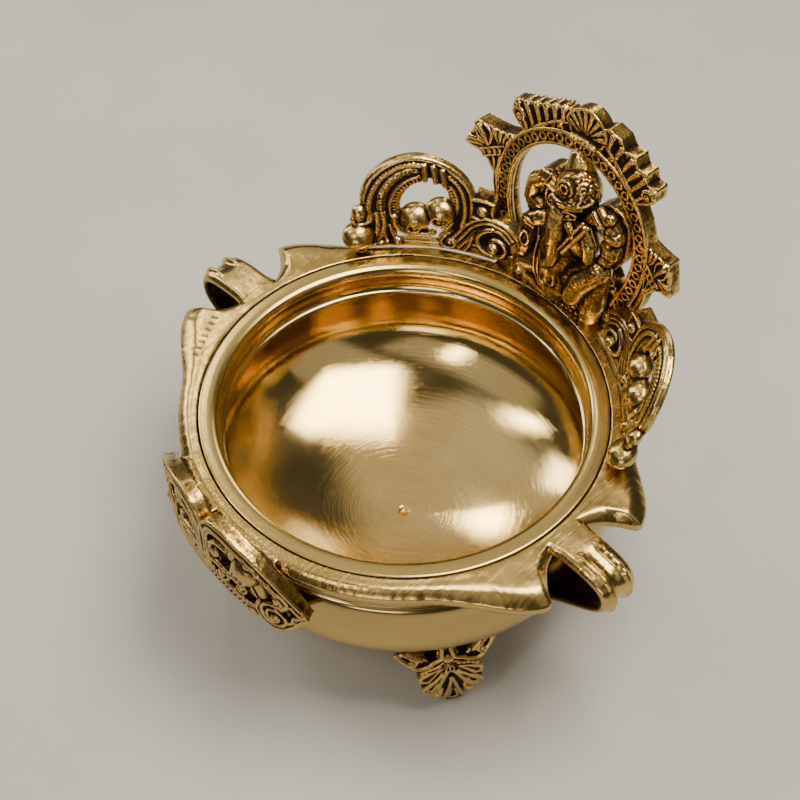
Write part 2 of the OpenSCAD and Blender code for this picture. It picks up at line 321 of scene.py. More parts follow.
def turned_brass():
    """Polished brass with fine lathe rings and warm stains, with painted shade in the cove and a painted
    reflection darkening the outside.
    """
    n = Nodes("turned brass")
    radius, height, bearing = n.polar()
    slope = n.plus(radius, n.times(height, 0.7))
    fine, coarse = 1300.0, 160.0
    rings = n.noise(1.0, 6.0, 0.72, n.join(n.times(slope, fine), n.times(bearing, 0.7), 0.0))
    broad = n.noise(1.0, 3.0, 0.6, n.join(n.times(slope, coarse), n.times(bearing, 0.4), 3.0))
    patches = n.noise(26.0, 4.0, 0.6)
    stain = n.noise(60.0, 5.0, 0.65)
    colour = n.ramp(patches, (0.3, (0.76, 0.52, 0.175)), (0.5, (0.85, 0.595, 0.22)),
                    (0.72, (0.91, 0.665, 0.285)))
    colour = n.mix(n.span(stain, 0.62, 0.76, 0.0, 0.45), colour, (0.52, 0.36, 0.13))
    colour = n.mix(n.span(rings, 0.4, 0.62, 0.0, 0.35), colour, (0.56, 0.39, 0.13))
    # the cove under the throat is painted a darker grey-olive as painted shade; the outside sees less polish,
    # so it is rougher, and is painted darker as a painted reflection of the darker floor
    cove = n.times(n.span(height, RIM_Z - 0.046, RIM_Z - 0.03, 0.0, 1.0),
                   n.span(height, RIM_Z - 0.015, RIM_Z - 0.012, 0.88, 0.25))
    colour = n.mix(cove, colour, (0.42, 0.39, 0.27))
    outward = n.outward(radius)
    # painted reflection: outward-facing surfaces are painted darker brown
    colour = n.mix(n.span(outward, 0.15, 0.5, 0.0, 0.8), colour, (0.44, 0.29, 0.085))
    top = n.span(height, RIM_Z - 0.0035, RIM_Z - 0.0008, 0.0, 1.0)
    colour = n.mix(n.times(top, 0.85), colour, (0.56, 0.4, 0.13))
    colour = n.seam(colour, radius, height)
    rough = n.plus(n.span(rings, 0.3, 0.7, 0.04, 0.11), n.span(patches, 0.45, 0.8, 0.0, 0.05))
    rough = n.plus(rough, n.span(outward, 0.15, 0.5, 0.0, 0.08))
    rough = n.plus(rough, n.times(top, 0.12))
    normal = n.bump(rings, 0.00004, 1.0, n.bump(broad, 0.00002, 1.0))
    return n.finish(Base_Color=colour, Roughness=rough, Normal=normal)


def filed_brass():
    """Satin brass, hand filed: fine scratches over soft waves, and a row of chisel cuts by one cusp."""
    n = Nodes("filed brass")
    radius, height, _ = n.polar()
    stretched = n.add("ShaderNodeMapping", Vector=n.coords, Rotation=(0, 0, 0.6), Scale=(900, 60, 300))
    strokes = n.noise(1.0, 5.0, 0.7, stretched.outputs[0])
    crossed = n.add("ShaderNodeMapping", Vector=n.coords, Rotation=(0, 0, -0.9), Scale=(500, 30, 200))
    cross = n.noise(1.0, 3.0, 0.7, crossed.outputs[0])
    waves = n.noise(90.0, 2.0, 0.5)
    patches = n.noise(30.0, 4.0, 0.6)
    pits = n.noise(1400.0, 2.0, 0.5)
    colour = n.ramp(patches, (0.3, (0.42, 0.28, 0.085)), (0.5, (0.54, 0.37, 0.12)),
                    (0.75, (0.66, 0.47, 0.18)))
    colour = n.mix(n.span(pits, 0.7, 0.78, 0.0, 0.6), colour, (0.22, 0.14, 0.06))
    colour = n.mix(n.span(n.noise(45.0, 5.0, 0.7), 0.64, 0.78, 0.0, 0.45), colour, (0.36, 0.22, 0.13))
    colour = n.seam(colour, radius, height)
    cuts = n.chisel((-1.085, -0.265), (-0.95, -0.531), 7, 0.018)
    colour = n.mix(n.times(cuts, 0.7), colour, (0.16, 0.1, 0.04))
    # painted shade: the inner side of the handle loops, tagged inner, is painted nearly black
    colour = n.mix(n.times(n.tag("inner"), 0.93), colour, (0.035, 0.02, 0.008))
    rough = n.plus(n.span(strokes, 0.3, 0.7, 0.16, 0.3), n.span(cross, 0.55, 0.75, 0.0, 0.1))
    normal = n.bump(waves, 0.0006, 0.6)
    normal = n.bump(strokes, 0.00006, 1.0, normal)
    normal = n.bump(cross, 0.00006, 0.7, normal)
    normal = n.bump(cuts, -0.0003, 1.0, normal)
    return n.finish(Base_Color=colour, Roughness=rough, Normal=normal)


def antique_brass(name, dark, middle, bright, sheen=0.3):
    """Cast brass with black-brown patina and painted shade in its recesses, and rubbed bright high points."""
    n = Nodes(name)
    cloud = n.noise(150.0, 5.0, 0.65)
    grain = n.noise(900.0, 3.0, 0.6)
    # the cavity value darkens recesses, near black in the deepest: real patina plus painted shade
    level = n.plus(n.tag("cavity"), n.span(cloud, 0.3, 0.7, -0.16, 0.16))
    level = n.plus(level, n.span(grain, 0.3, 0.7, -0.07, 0.07), clamp=True)
    colour = n.ramp(level, (0.3, bright), (0.48, middle), (0.62, dark), (0.8, tuple(c * 0.35 for c in dark)))
    rough = n.span(level, 0.3, 0.7, sheen, 0.6)
    normal = n.bump(grain, 0.00012, 0.8, n.bump(cloud, 0.0003, 0.7))
    metal = n.span(level, 0.6, 0.9, 1.0, 0.55)
    material = n.finish(Base_Color=colour, Roughness=rough, Normal=normal)
    n.tree.links.new(metal, n.shader.inputs["Metallic"])
    return material


def pale_floor():
    """Light warm-grey plaster, with faint clouds and a fine grain."""
    n = Nodes("pale floor")
    cloud = n.noise(5.0, 6.0, 0.6)
    colour = n.ramp(cloud, (0.3, (0.5, 0.49, 0.455)), (0.7, (0.58, 0.57, 0.53)))
    grain = n.noise(300.0, 3.0, 0.6)
    material = n.finish(Base_Color=colour, Roughness=0.75, Normal=n.bump(grain, 0.0002, 0.4))
    n.shader.inputs["Metallic"].default_value = 0.0
    return material


# ---- bowl ----
def bowl_profile():
    """(radius, height) from the underside's middle up the outside, over the rim and down to the dimple."""
    mouth, throat, wall = 0.9257, 0.8771, 0.045
    outside = [
        arc((0, BELLY_Z), BELLY, BELLY_HALF, -90, 0, 60),
        arc((1.02, BELLY_Z), BELLY - 1.02, 0.24, 0, 90, 24)[1:],
        arc((1.045, -0.215), 0.025, 0.045, 180, 90, 12),
        [(1.045, -0.165), (1.0445, -0.105), (1.042, -0.1), (1.018, -0.094), (1.015, -0.09), (1.015, -0.085),
         (1.018, -0.08), (1.032, -0.077), (1.035, -0.073), (1.035, -0.05), (1.033, -PLATE),
         (1.0, -PLATE + 0.001),
         (0.9985, -0.02), (0.998, -0.004), (0.9955, 0.0)],
    ]
    inside = [
        [(0.985, 0.0), (0.96, -0.0005), (mouth + 0.008, -0.001), (mouth + 0.003, -0.003)],
        arc((mouth, -0.09), 0.032, 0.085, 95, 180, 16),
        arc((throat + 0.012, -0.157), 0.012, 0.014, 90, 270, 14),
        arc((throat + 0.01, BELLY_Z), BELLY - wall - throat - 0.01, 0.27, 90, 0, 30)[1:],
        arc((0, BELLY_Z), BELLY - wall, BELLY_HALF - wall, 0, -88.3, 70)[1:],
        [(0.024, -0.8805), (0.021, -0.884), (0.012, -0.892), (0.004, -0.896), (0.0, -0.897)],
    ]
    return np.vstack([*outside, *inside])


def make_bowl(material):
    segments = 288
    verts, faces = lathe(bowl_profile(), segments)
    return settle(make_mesh("bowl_turned", world(verts), faces, material), "bowl")


# ---- collar ----
def collar_outline():
    """Outline of the collar, anticlockwise from the front, as in the CAD."""
    start, notch, shelf, rim, out = (0.82, 0.735), (1.073, 0.105), 0.36, 1 + 8.5 / SEAM_MM, 1.2
    cusp = np.vstack([bezier(start, (0.98, 0.54), (1.2, 0.47), (1.25, 0.32), 26),
                      bezier((1.247, 0.3), (1.17, 0.25), (1.1, 0.2), notch, 20)])
    bearing = math.degrees(math.atan2(start[1], start[0]))
    half = np.vstack([
        arc((0, 0), rim, rim, -90, -bearing - 1, 40),
        cusp * (1, -1),
        cusp[::-1],
        arc((0, 0), rim, rim, bearing + 1, math.degrees(math.acos(shelf / rim)), 26),
        arc((0, 0), out, out, math.degrees(math.acos(shelf / out)), 90, 14)])
    return np.vstack([half, half[::-1][1:-1] * (-1, 1)])


def make_collar(material):
    """The plate as rings from the seam outwards; its edge droops and is filed rough."""
    outline = even(np.vstack([collar_outline(), collar_outline()[:1]]), 0.01)[:-1]
    seam = outline / np.linalg.norm(outline, axis=1)[:, None] * 1.003
    reach = np.linalg.norm(outline - seam, axis=1)
    flat = np.c_[outline, 0 * reach]
    wobble = perlin(flat, 9.0, 1) * 0.004 + perlin(flat, 40.0, 2) * 0.0022
    radial = (outline - seam) / reach[:, None]
    edge = outline + radial * wobble[:, None]
    at_notch = (np.abs(outline[:, 1]) < 0.1) & (np.abs(outline[:, 0]) > 1.0)
    on_shelf = outline[:, 1] > 1.05
    droop = np.where(at_notch | on_shelf, 0.0, 0.036 + 0.02 * np.clip((reach - 0.09) / 0.16, 0, 1))
    width = np.clip(reach * 0.5, 0.035, 0.095)
    rings = []

    def ring(inward, z):
        """inward is the distance in from the edge, per point."""
        rings.append(np.c_[edge - radial * np.minimum(inward, reach * 0.97)[:, None], z + 0 * reach])

    rings.append(np.c_[seam, 0 * reach - PLATE])
    rings.append(np.c_[seam, 0 * reach - 0.004])
    rings.append(np.c_[seam * 1.003, 0 * reach - 0.0005])
    for share in (0.93, 0.8, 0.6, 0.4, 0.2, 0.0):
        ring(width + share * (reach - width) * 0.98, 0.0006 * math.sin(share * 9))
    for k in np.linspace(0.9, 0.0, 10):
        ring(width * k, -droop * (1 - k) ** 1.7)
    ring(0 * reach - 0.001, -droop - 0.006)
    ring(0 * reach, -droop - PLATE * 0.8)
    ring(0 * reach + 0.006, -droop - PLATE * 0.98)
    ring(width, -PLATE + 0 * reach)
    count = len(outline)
    faces = skin(len(rings) + 1, count)[2:]
    faces = [tuple(i % (len(rings) * count) for i in f) for f in faces]
    plate = make_mesh("collar_plate", world(np.vstack(rings)), faces, material)
    return settle(plate, "collar")


# ---- handles ----
def make_handle(side, material):
    """A strap loop: a cross-section with two rough ribs, swept along the loop."""
    line = np.vstack([bezier((1.07, -PLATE / 2), (1.28, -PLATE / 2), (1.4, -0.04), (1.385, -0.15), 34),
                      bezier((1.38, -0.175), (1.36, -0.25), (1.2, -0.31), (1.058, -0.43), 34)])
    line = even(line, 0.008)
    out = normals(line)
    half_width, half = 19 / 2 / SEAM_MM, PLATE / 2
    ribs_start = 0.24 if side < 0 else 0.12
    across = np.linspace(-1, 1, 29)
    count = len(line)
    verts = []
    for i in range(count):
        far = i / (count - 1)
        ribs_on = np.clip((far - ribs_start) / 0.07, 0, 1) * np.clip((0.9 - far) / 0.1, 0, 1)
        flare = 1 + 0.12 * max(0, 1 - far / 0.08) ** 2
        section = []
        for s in across:
            y = s * half_width * flare
            lump = noise.noise(Vector((far * 38, s * 6, side * 3.0)))
            rib = sum(math.exp(-((s - c) / 0.13) ** 2) for c in (-0.5, 0.5)) * (0.019 + 0.006 * lump)
            dip = -0.007 * math.exp(-(s / 0.3) ** 2) + 0.0025 * lump
            edge = -0.022 * max(0, (abs(s) - 0.72) / 0.28) ** 2
            section.append((y, half + edge + ribs_on * (rib + dip)))
        section += [(s * half_width * flare, -half + 0.01 * max(0, (abs(s) - 0.85) / 0.15) ** 2)
                    for s in across[::-1]]
        for y, d in section:
            verts.append((line[i, 0] + out[i, 0] * d, y, line[i, 1] + out[i, 1] * d))
    faces = skin(count, len(across) * 2)
    verts = np.array(verts) * (side, 1, 1)
    if side < 0:
        faces = [f[::-1] for f in faces]
    name = "handle_left" if side < 0 else "handle_right"
    strap = make_mesh(name + "_strap", world(verts), faces, material)
    # tags the loop's inner side, which the filed brass paints nearly black as painted shade
    inner = strap.data.attributes.new("inner", "FLOAT", "POINT")
    inner.data.foreach_set("value", np.tile(np.repeat([0.0, 1.0], len(across)), count).astype(np.float32))
    return settle(strap, name)


# ---- castings: closed forms in a flat space, fused and softened, then bent into place ----
class Casting:
    """Forms in (sideways, up, depth), in units. Depth 0 is the front plane and grows towards the back."""

    def __init__(self):
        self.verts, self.faces, self.count = [], [], 0

    def add(self, verts, faces):
        self.verts.append(np.asarray(verts, float))
        self.faces += [tuple(i + self.count for i in f) for f in faces]
        self.count += len(verts)

    def sweep(self, line, section):
        """A closed section of (beside, depth) pairs carried along a flat line."""
        line = np.asarray(line, float)
        section = np.asarray(section, float)
        out = normals(line)
        size, count = section.shape[-2], len(line)
        section = np.broadcast_to(section, (count, size, 2))
        rows = [np.c_[line[i] + out[i] * section[i, :, :1], section[i, :, 1]] for i in range(count)]
        self.add(np.vstack(rows), skin(count, size))

    def rod(self, line, r, depth=0.0, sides=8, flat=1.0):
        """A round ridge along a flat line. A pair as r is its radius at the two ends; depth may vary too."""
        line = np.asarray(line, float)
        r = np.linspace(*r, len(line)) if isinstance(r, tuple) else np.full(len(line), float(r))
        depth = np.broadcast_to(np.asarray(depth, float), (len(line),))
        t = np.linspace(0, 2 * math.pi, sides, endpoint=False)
        wheel = np.stack([np.cos(t), np.sin(t) * flat], 1)
        section = r[:, None, None] * wheel + np.stack([0 * depth, depth], 1)[:, None, :]
        self.sweep(line, section)
        for end in (0, -1):
            self.ball(line[end], r[end], depth[end], flat, 8)

    def vein(self, points, *shape, **more):
        """A round ridge on a smooth line through the points."""
        self.rod(smooth(points), *shape, **more)

    def ball(self, at, r, depth=0.0, flat=1.0, n=14, tall=1.0):
        t = np.linspace(0, math.pi, n)
        verts, faces = lathe(np.stack([np.sin(t), -np.cos(t)], 1), n)
        verts = verts * r
        self.add(np.c_[at[0] + verts[:, 0], at[1] + verts[:, 2] * tall, depth + verts[:, 1] * flat],
                 [f[::-1] for f in faces])

    def limb(self, a, b, ra, rb=None):
        """A round limb between two points in (sideways, up, depth)."""
        n = 24
        a, b = np.array(a, float), np.array(b, float)
        rb = ra if rb is None else rb
        along = (b - a) / (np.linalg.norm(b - a) + 1e-9)
        other = np.cross(along, (0.3, 0.2, 1.0))
        other /= np.linalg.norm(other)
        third = np.cross(along, other)
        t = np.linspace(0, 2 * math.pi, n, endpoint=False)
        rows = []
        for p, r, way in ((a, ra, -1), (b, rb, 1)):
            caps = [(0.0, 1.0), (0.6, 0.8), (0.92, 0.4)]
            caps = caps[::-1] if way < 0 else caps
            for out, wide in caps:
                rows.append(p + along * way * out * r + r * wide * (np.cos(t)[:, None] * other
                                                                    + np.sin(t)[:, None] * third))
        self.add(np.vstack(rows), [f[::-1] for f in skin(len(rows), n)])

    def limbs(self, points, radii):
        for (a, ra), (b, rb) in zip(zip(points, radii), zip(points[1:], radii[1:])):
            self.limb(a, b, ra, rb)

    def strip(self, line, half, front, back):
        """A flat strip of the given half width."""
        self.sweep(line, [(-half, front), (half, front), (half, back), (-half, back)])

    def plate(self, outline, front, back):
        outline = np.asarray(outline, float)
        n = len(outline)
        faces = [tuple(range(n)), tuple(range(2 * n - 1, n - 1, -1))]
        faces += [(i, n + i, n + (i + 1) % n, (i + 1) % n) for i in range(n)]
        self.add(np.vstack([np.c_[outline, np.full(n, front)], np.c_[outline, np.full(n, back)]]), faces)

    def beads(self, line, r, step, depth=0.0, flat=1.0):
        for p in even(line, step):
            self.ball(p, r, depth, flat, 8)

    def ticks(self, line, half, r, step, depth=0.0, slant=0.0):
        """Short ridges across a line."""
        line = even(line, step)
        out = normals(line)
        along = np.stack([out[:, 1], -out[:, 0]], 1)
        for p, o, a in zip(line, out, along):
            self.rod(np.array([p - o * half - a * slant, p + o * half + a * slant]), r, depth, 6)

    def whorl(self, at, radius, r, turns=1.6, start=0.0, depth=0.0, eye=True, rise=0.0):
        """A spiral ridge that thins inwards, with a round eye."""
        line = swirl(at, radius, turns, start)
        self.rod(line, (r, r * 0.55), depth - rise * np.linspace(0, 1, len(line)))
        if eye:
            self.ball(at, r * 1.25, depth - rise)

    def ring(self, at, radius, r, depth=0.0, tall=1.0):
        t = np.linspace(0, 2 * math.pi, 22)
        self.rod(np.stack([at[0] + radius * np.cos(t), at[1] + radius * tall * np.sin(t)], 1), r, depth, 7)

    def mirrored(self):
        other = Casting()
        flip = np.array([-1, 1, 1])
        other.verts = [v * flip for v in self.verts]
        other.faces = [f[::-1] for f in self.faces]
        other.count = self.count
        return other


def fuse(name, casting, voxel):
    """The casting's forms as one closed mesh."""
    ob = make_mesh(name, np.vstack(casting.verts) * UNIT, casting.faces, shade=False)
    remesh = ob.modifiers.new("fuse", "REMESH")
    remesh.mode = "VOXEL"
    remesh.voxel_size = voxel
    bpy.context.view_layer.update()
    mesh = bpy.data.meshes.new_from_object(ob.evaluated_get(bpy.context.evaluated_depsgraph_get()))
    rough = ob.data
    ob.modifiers.clear()
    ob.data = mesh
    bpy.data.meshes.remove(rough)
    return ob


def positions(mesh):
    co = np.empty(len(mesh.vertices) * 3, np.float32)
    mesh.vertices.foreach_get("co", co)
    return co.reshape(-1, 3).astype(float)


def averager(mesh):
    """A function that replaces each point by the mean of its neighbours."""
    edges = np.empty(len(mesh.edges) * 2, np.int32)
    mesh.edges.foreach_get("vertices", edges)
    a, b = edges.reshape(-1, 2).T
    n = len(mesh.vertices)
    count = np.bincount(a, minlength=n) + np.bincount(b, minlength=n)

    def average(values):
        total = np.stack([np.bincount(a, values[b, k], n) + np.bincount(b, values[a, k], n)
                          for k in range(values.shape[1])], 1)
        return total / np.maximum(count, 1)[:, None]

    return average


def point_normals(mesh):
    out = np.empty(len(mesh.vertices) * 3, np.float32)
    mesh.vertex_normals.foreach_get("vector", out)
    return out.reshape(-1, 3).astype(float)


SOFTENINGS = 2
PIT = 0.00016


def place(casting, node, bend, material, seed, voxel=0.00042, name=None):
    """Fuses a casting, softens and roughens it, notes its recesses and bends it into place."""
    ob = fuse(name or node + "_casting", casting, voxel)
    mesh = ob.data
    average = averager(mesh)
    co = positions(mesh)
    for _ in range(SOFTENINGS):
        co = 0.4 * co + 0.6 * average(co)
    rough = perlin(co, 260.0, seed) * 0.6 + perlin(co, 700.0, seed + 3) * 0.4
    co = co + point_normals(mesh) * (rough * PIT)[:, None]
    spread, hollow = co, np.zeros(len(co))
    out = point_normals(mesh)
    reach = {4: 0.4, 16: 1.2, 64: 2.6}
    for step in range(1, max(reach) + 1):
        spread = average(spread)
        if step in reach:
            hollow += np.clip(((spread - co) * out).sum(1) / (voxel * reach[step]), -1, 1) * 0.3
    # the cavity value, high in recesses, drives the antique brass's patina and painted shade
    cavity = mesh.attributes.new("cavity", "FLOAT", "POINT")
    cavity.data.foreach_set("value", (0.5 + hollow).astype(np.float32))
    points = world(bend(co / UNIT))
    mesh.vertices.foreach_set("co", points.astype(np.float32).ravel())
    mesh.update()
    mesh.materials.append(material)
    mesh.shade_smooth()
    return settle(ob, node)


WALL_R = 1.06
WALL_SLOPE = math.tan(math.radians(15))
WALL_SQUAT = 0.75
WALL_SHIFT = 0.1
WALL_MEAN_R = 1.08


def on_wall(bearing):
    """Bends onto the wall that leans outwards, seen from the bowl's axis."""
    def bend(p):
        shift = WALL_SHIFT * np.sign(bearing - 90)
        z = (p[:, 1] + 0.02) * WALL_SQUAT
        r = WALL_R + WALL_SLOPE * z + p[:, 2]
        middle = math.radians(bearing) + shift / WALL_MEAN_R
        x = p[:, 0] + shift
        angle = middle - x / (WALL_R + WALL_SLOPE * z)
        return np.stack([r * np.cos(angle), r * np.sin(angle), z], 1)
    return bend


def on_arch(p):
    """The flat plane of the arch, which leans back."""
    y, z = p[:, 2], p[:, 1]
    return np.stack([p[:, 0], PANEL_Y + y * math.cos(LEAN) + z * math.sin(LEAN),
                     z * math.cos(LEAN) - y * math.sin(LEAN)], 1)


def on_apron(bearing, radius):
    """Bends onto the apron seen from outside; depth goes inwards."""
    def bend(p):
        angle = np.radians(bearing) + p[:, 0] / radius
        r = radius - p[:, 2]
        return np.stack([r * np.cos(angle), r * np.sin(angle), p[:, 1]], 1)
    return bend


# ---- ornaments ----
def horseshoe(shrink, n=120):
    """The ring's outline, from its lower right end over the top to its lower left end."""
    angle = np.radians(np.linspace(-48, 228, n))
    down = np.where(np.sin(angle) < 0, RING_DOWN, RING_UP)
    return np.stack([(RING_HALF - shrink) * np.cos(angle), RING_Z + (down - shrink) * np.sin(angle)], 1)


def arch_ring():
    c = Casting()
    middle = horseshoe(BAND / 2)
    c.strip(middle, BAND / 2, 0.012, SLAB)
    for side in (-1, 1):
        c.rod(beside(middle, side * (BAND / 2 - 0.01)), 0.0115, 0.012)
    c.rod(beside(middle, BAND / 2 - 0.002), 0.008, 0.03)
    for p in even(middle, 0.0575)[1:-1]:
        c.ring(p, 0.0185, 0.0078, 0.0105)
    return c


SHORT_REACH = 0.65
SHORT_FALL = 10 / SEAM_MM


def finial():
    """Lotus bud on the right side of the ring."""
    c = Casting()
    outline = [(0.4, 0.28), (0.482, 0.28), (0.51, 0.37), (0.52, 0.43), (0.565, 0.475), (0.64, 0.495),
               (0.735, 0.495), (0.7, 0.59), (0.665, 0.68), (0.6, 0.685), (0.5, 0.7), (0.42, 0.73),
               (0.33, 0.76), (0.33, 0.7), (0.43, 0.55)]
    c.plate(outline, 0.017, SLAB + 0.012)
    c.vein(outline[1:5], 0.009, 0.02)
    c.vein([(0.47, 0.3), (0.492, 0.4), (0.5, 0.47)], 0.011, 0.02)
    belt = smooth([(0.462, 0.612), (0.53, 0.565), (0.612, 0.508)])
    c.strip(belt, 0.021, 0.008, 0.06)
    for side in (-1, 1):
        c.rod(beside(belt, side * 0.02), 0.007, 0.008)
    c.beads([(0.49, 0.592), (0.59, 0.525)], 0.012, 0.04, 0.006)
    for tip in ((0.425, 0.705), (0.462, 0.7), (0.503, 0.69), (0.545, 0.682), (0.7, 0.555), (0.715, 0.522)):
        root = (0.51 + 0.35 * (tip[0] - 0.56), 0.6 - 0.3 * (0.62 - tip[1]))
        middle = (0.5 * (root[0] + tip[0]) + 0.006, 0.5 * (root[1] + tip[1]))
        c.vein([root, middle, tip], (0.008, 0.0155), 0.016)
    c.vein([(0.575, 0.582), (0.605, 0.62), (0.638, 0.655)], (0.01, 0.024), 0.01)
    for bend in (-1, 1):
        c.vein([(0.568, 0.57), (0.606 - 0.042 * bend, 0.62 + 0.03 * bend),
                (0.648 - 0.028 * bend, 0.672 + 0.012 * bend)], 0.0085, 0.014)
    for stem in (((0.5, 0.43), (0.49, 0.55)), ((0.512, 0.44), (0.533, 0.53)), ((0.53, 0.46), (0.575, 0.508))):
        c.vein(stem, 0.0105, 0.018)
    return c


def shortened(bud):
    """The right bud stands out less from the ring and sits lower than the left one."""
    for verts in bud.verts:
        outside = verts[:, 0] > RING_HALF
        verts[outside, 0] = RING_HALF + (verts[outside, 0] - RING_HALF) * SHORT_REACH
        verts[:, 1] -= SHORT_FALL
    return bud


def crest():
    """A palmette between two acanthus leaves with plain thick edges; the right one is stepped."""
    c = Casting()
    left = [(-0.1, 0.86), (-0.26, 0.78), (-0.36, 0.795), (-0.43, 0.83), (-0.462, 0.875), (-0.462, 0.925),
            (-0.415, 0.955), (-0.345, 0.978), (-0.27, 1.008), (-0.2, 1.045), (-0.13, 1.07), (-0.075, 1.06),
            (-0.115, 0.985), (-0.15, 0.955)]
    right = [(0.1, 0.86), (0.15, 0.955), (0.115, 0.985), (0.07, 1.06), (0.12, 1.095), (0.2, 1.075),
             (0.235, 1.03), (0.3, 1.03), (0.325, 0.98), (0.375, 0.98), (0.395, 0.925), (0.445, 0.92),
             (0.45, 0.85), (0.4, 0.81), (0.33, 0.79), (0.26, 0.78)]
    c.plate(left, 0.02, SLAB)
    c.plate(right, 0.02, SLAB + 0.022)
    roots = ((0.345, 0.8), (0.305, 0.825), (0.27, 0.855), (0.235, 0.885), (0.2, 0.91), (0.17, 0.94))
    ends = {-1: ((0.43, 0.925), (0.375, 0.95), (0.315, 0.975), (0.26, 1.0), (0.205, 1.028), (0.15, 1.05)),
            1: ((0.425, 0.9), (0.375, 0.945), (0.325, 0.955), (0.285, 1.005), (0.215, 1.03), (0.155, 1.065))}
    for side, tips in ends.items():
        for tip, root in zip(tips, roots):
            root, tip = (side * root[0], root[1]), (side * tip[0], tip[1])
            middle = (root[0] * 0.4 + tip[0] * 0.6 - side * 0.014, 0.5 * (root[1] + tip[1]) - 0.004)
            c.vein([root, middle, tip], (0.01, 0.0185), 0.022, flat=0.9)
            if side < 0:
                c.limb((*tip, 0.03), (*tip, SLAB - 0.012), 0.024)
        c.whorl((side * 0.405, 0.87), 0.04, 0.0125, side * 1.1, 90 - side * 70, 0.014)
        c.vein([(side * 0.36, 0.803), (side * 0.41, 0.832), (side * 0.443, 0.865)], 0.013, 0.02)
        c.vein([(side * 0.14, 0.99), (side * 0.19, 0.955), (side * 0.25, 0.905), (side * 0.3, 0.86)],
               0.008, 0.012)
    c.plate(arc((0, 1.012), 0.115, 0.118, -30, 210, 30), 0.022, SLAB)
    c.plate([(-0.07, 0.93), (0.07, 0.93), (0.05, 1.0), (-0.05, 1.0)], 0.014, SLAB)
    c.vein([(-0.068, 0.952), (0, 0.957), (0.068, 0.952)], 0.02, 0.006)
    c.beads([(-0.058, 0.954), (0.058, 0.954)], 0.011, 0.023, -0.01)
    for angle in np.linspace(12, 168, 8):
        way = np.array([math.cos(math.radians(angle)), math.sin(math.radians(angle))])
        c.vein([way * 0.014 + (0, 0.975), way * 0.07 + (0, 0.985), way * 0.118 + (0, 0.995)],
               (0.006, 0.0155), 0.02, flat=0.9)
    c.rod(arc((0, 1.005), 0.122, 0.118, 10, 170, 40), 0.0085, 0.018)
    return c


SCROLL_BEARING = 127.8
SCROLL_SHIFT = 0.7
WALL_TURN = 6


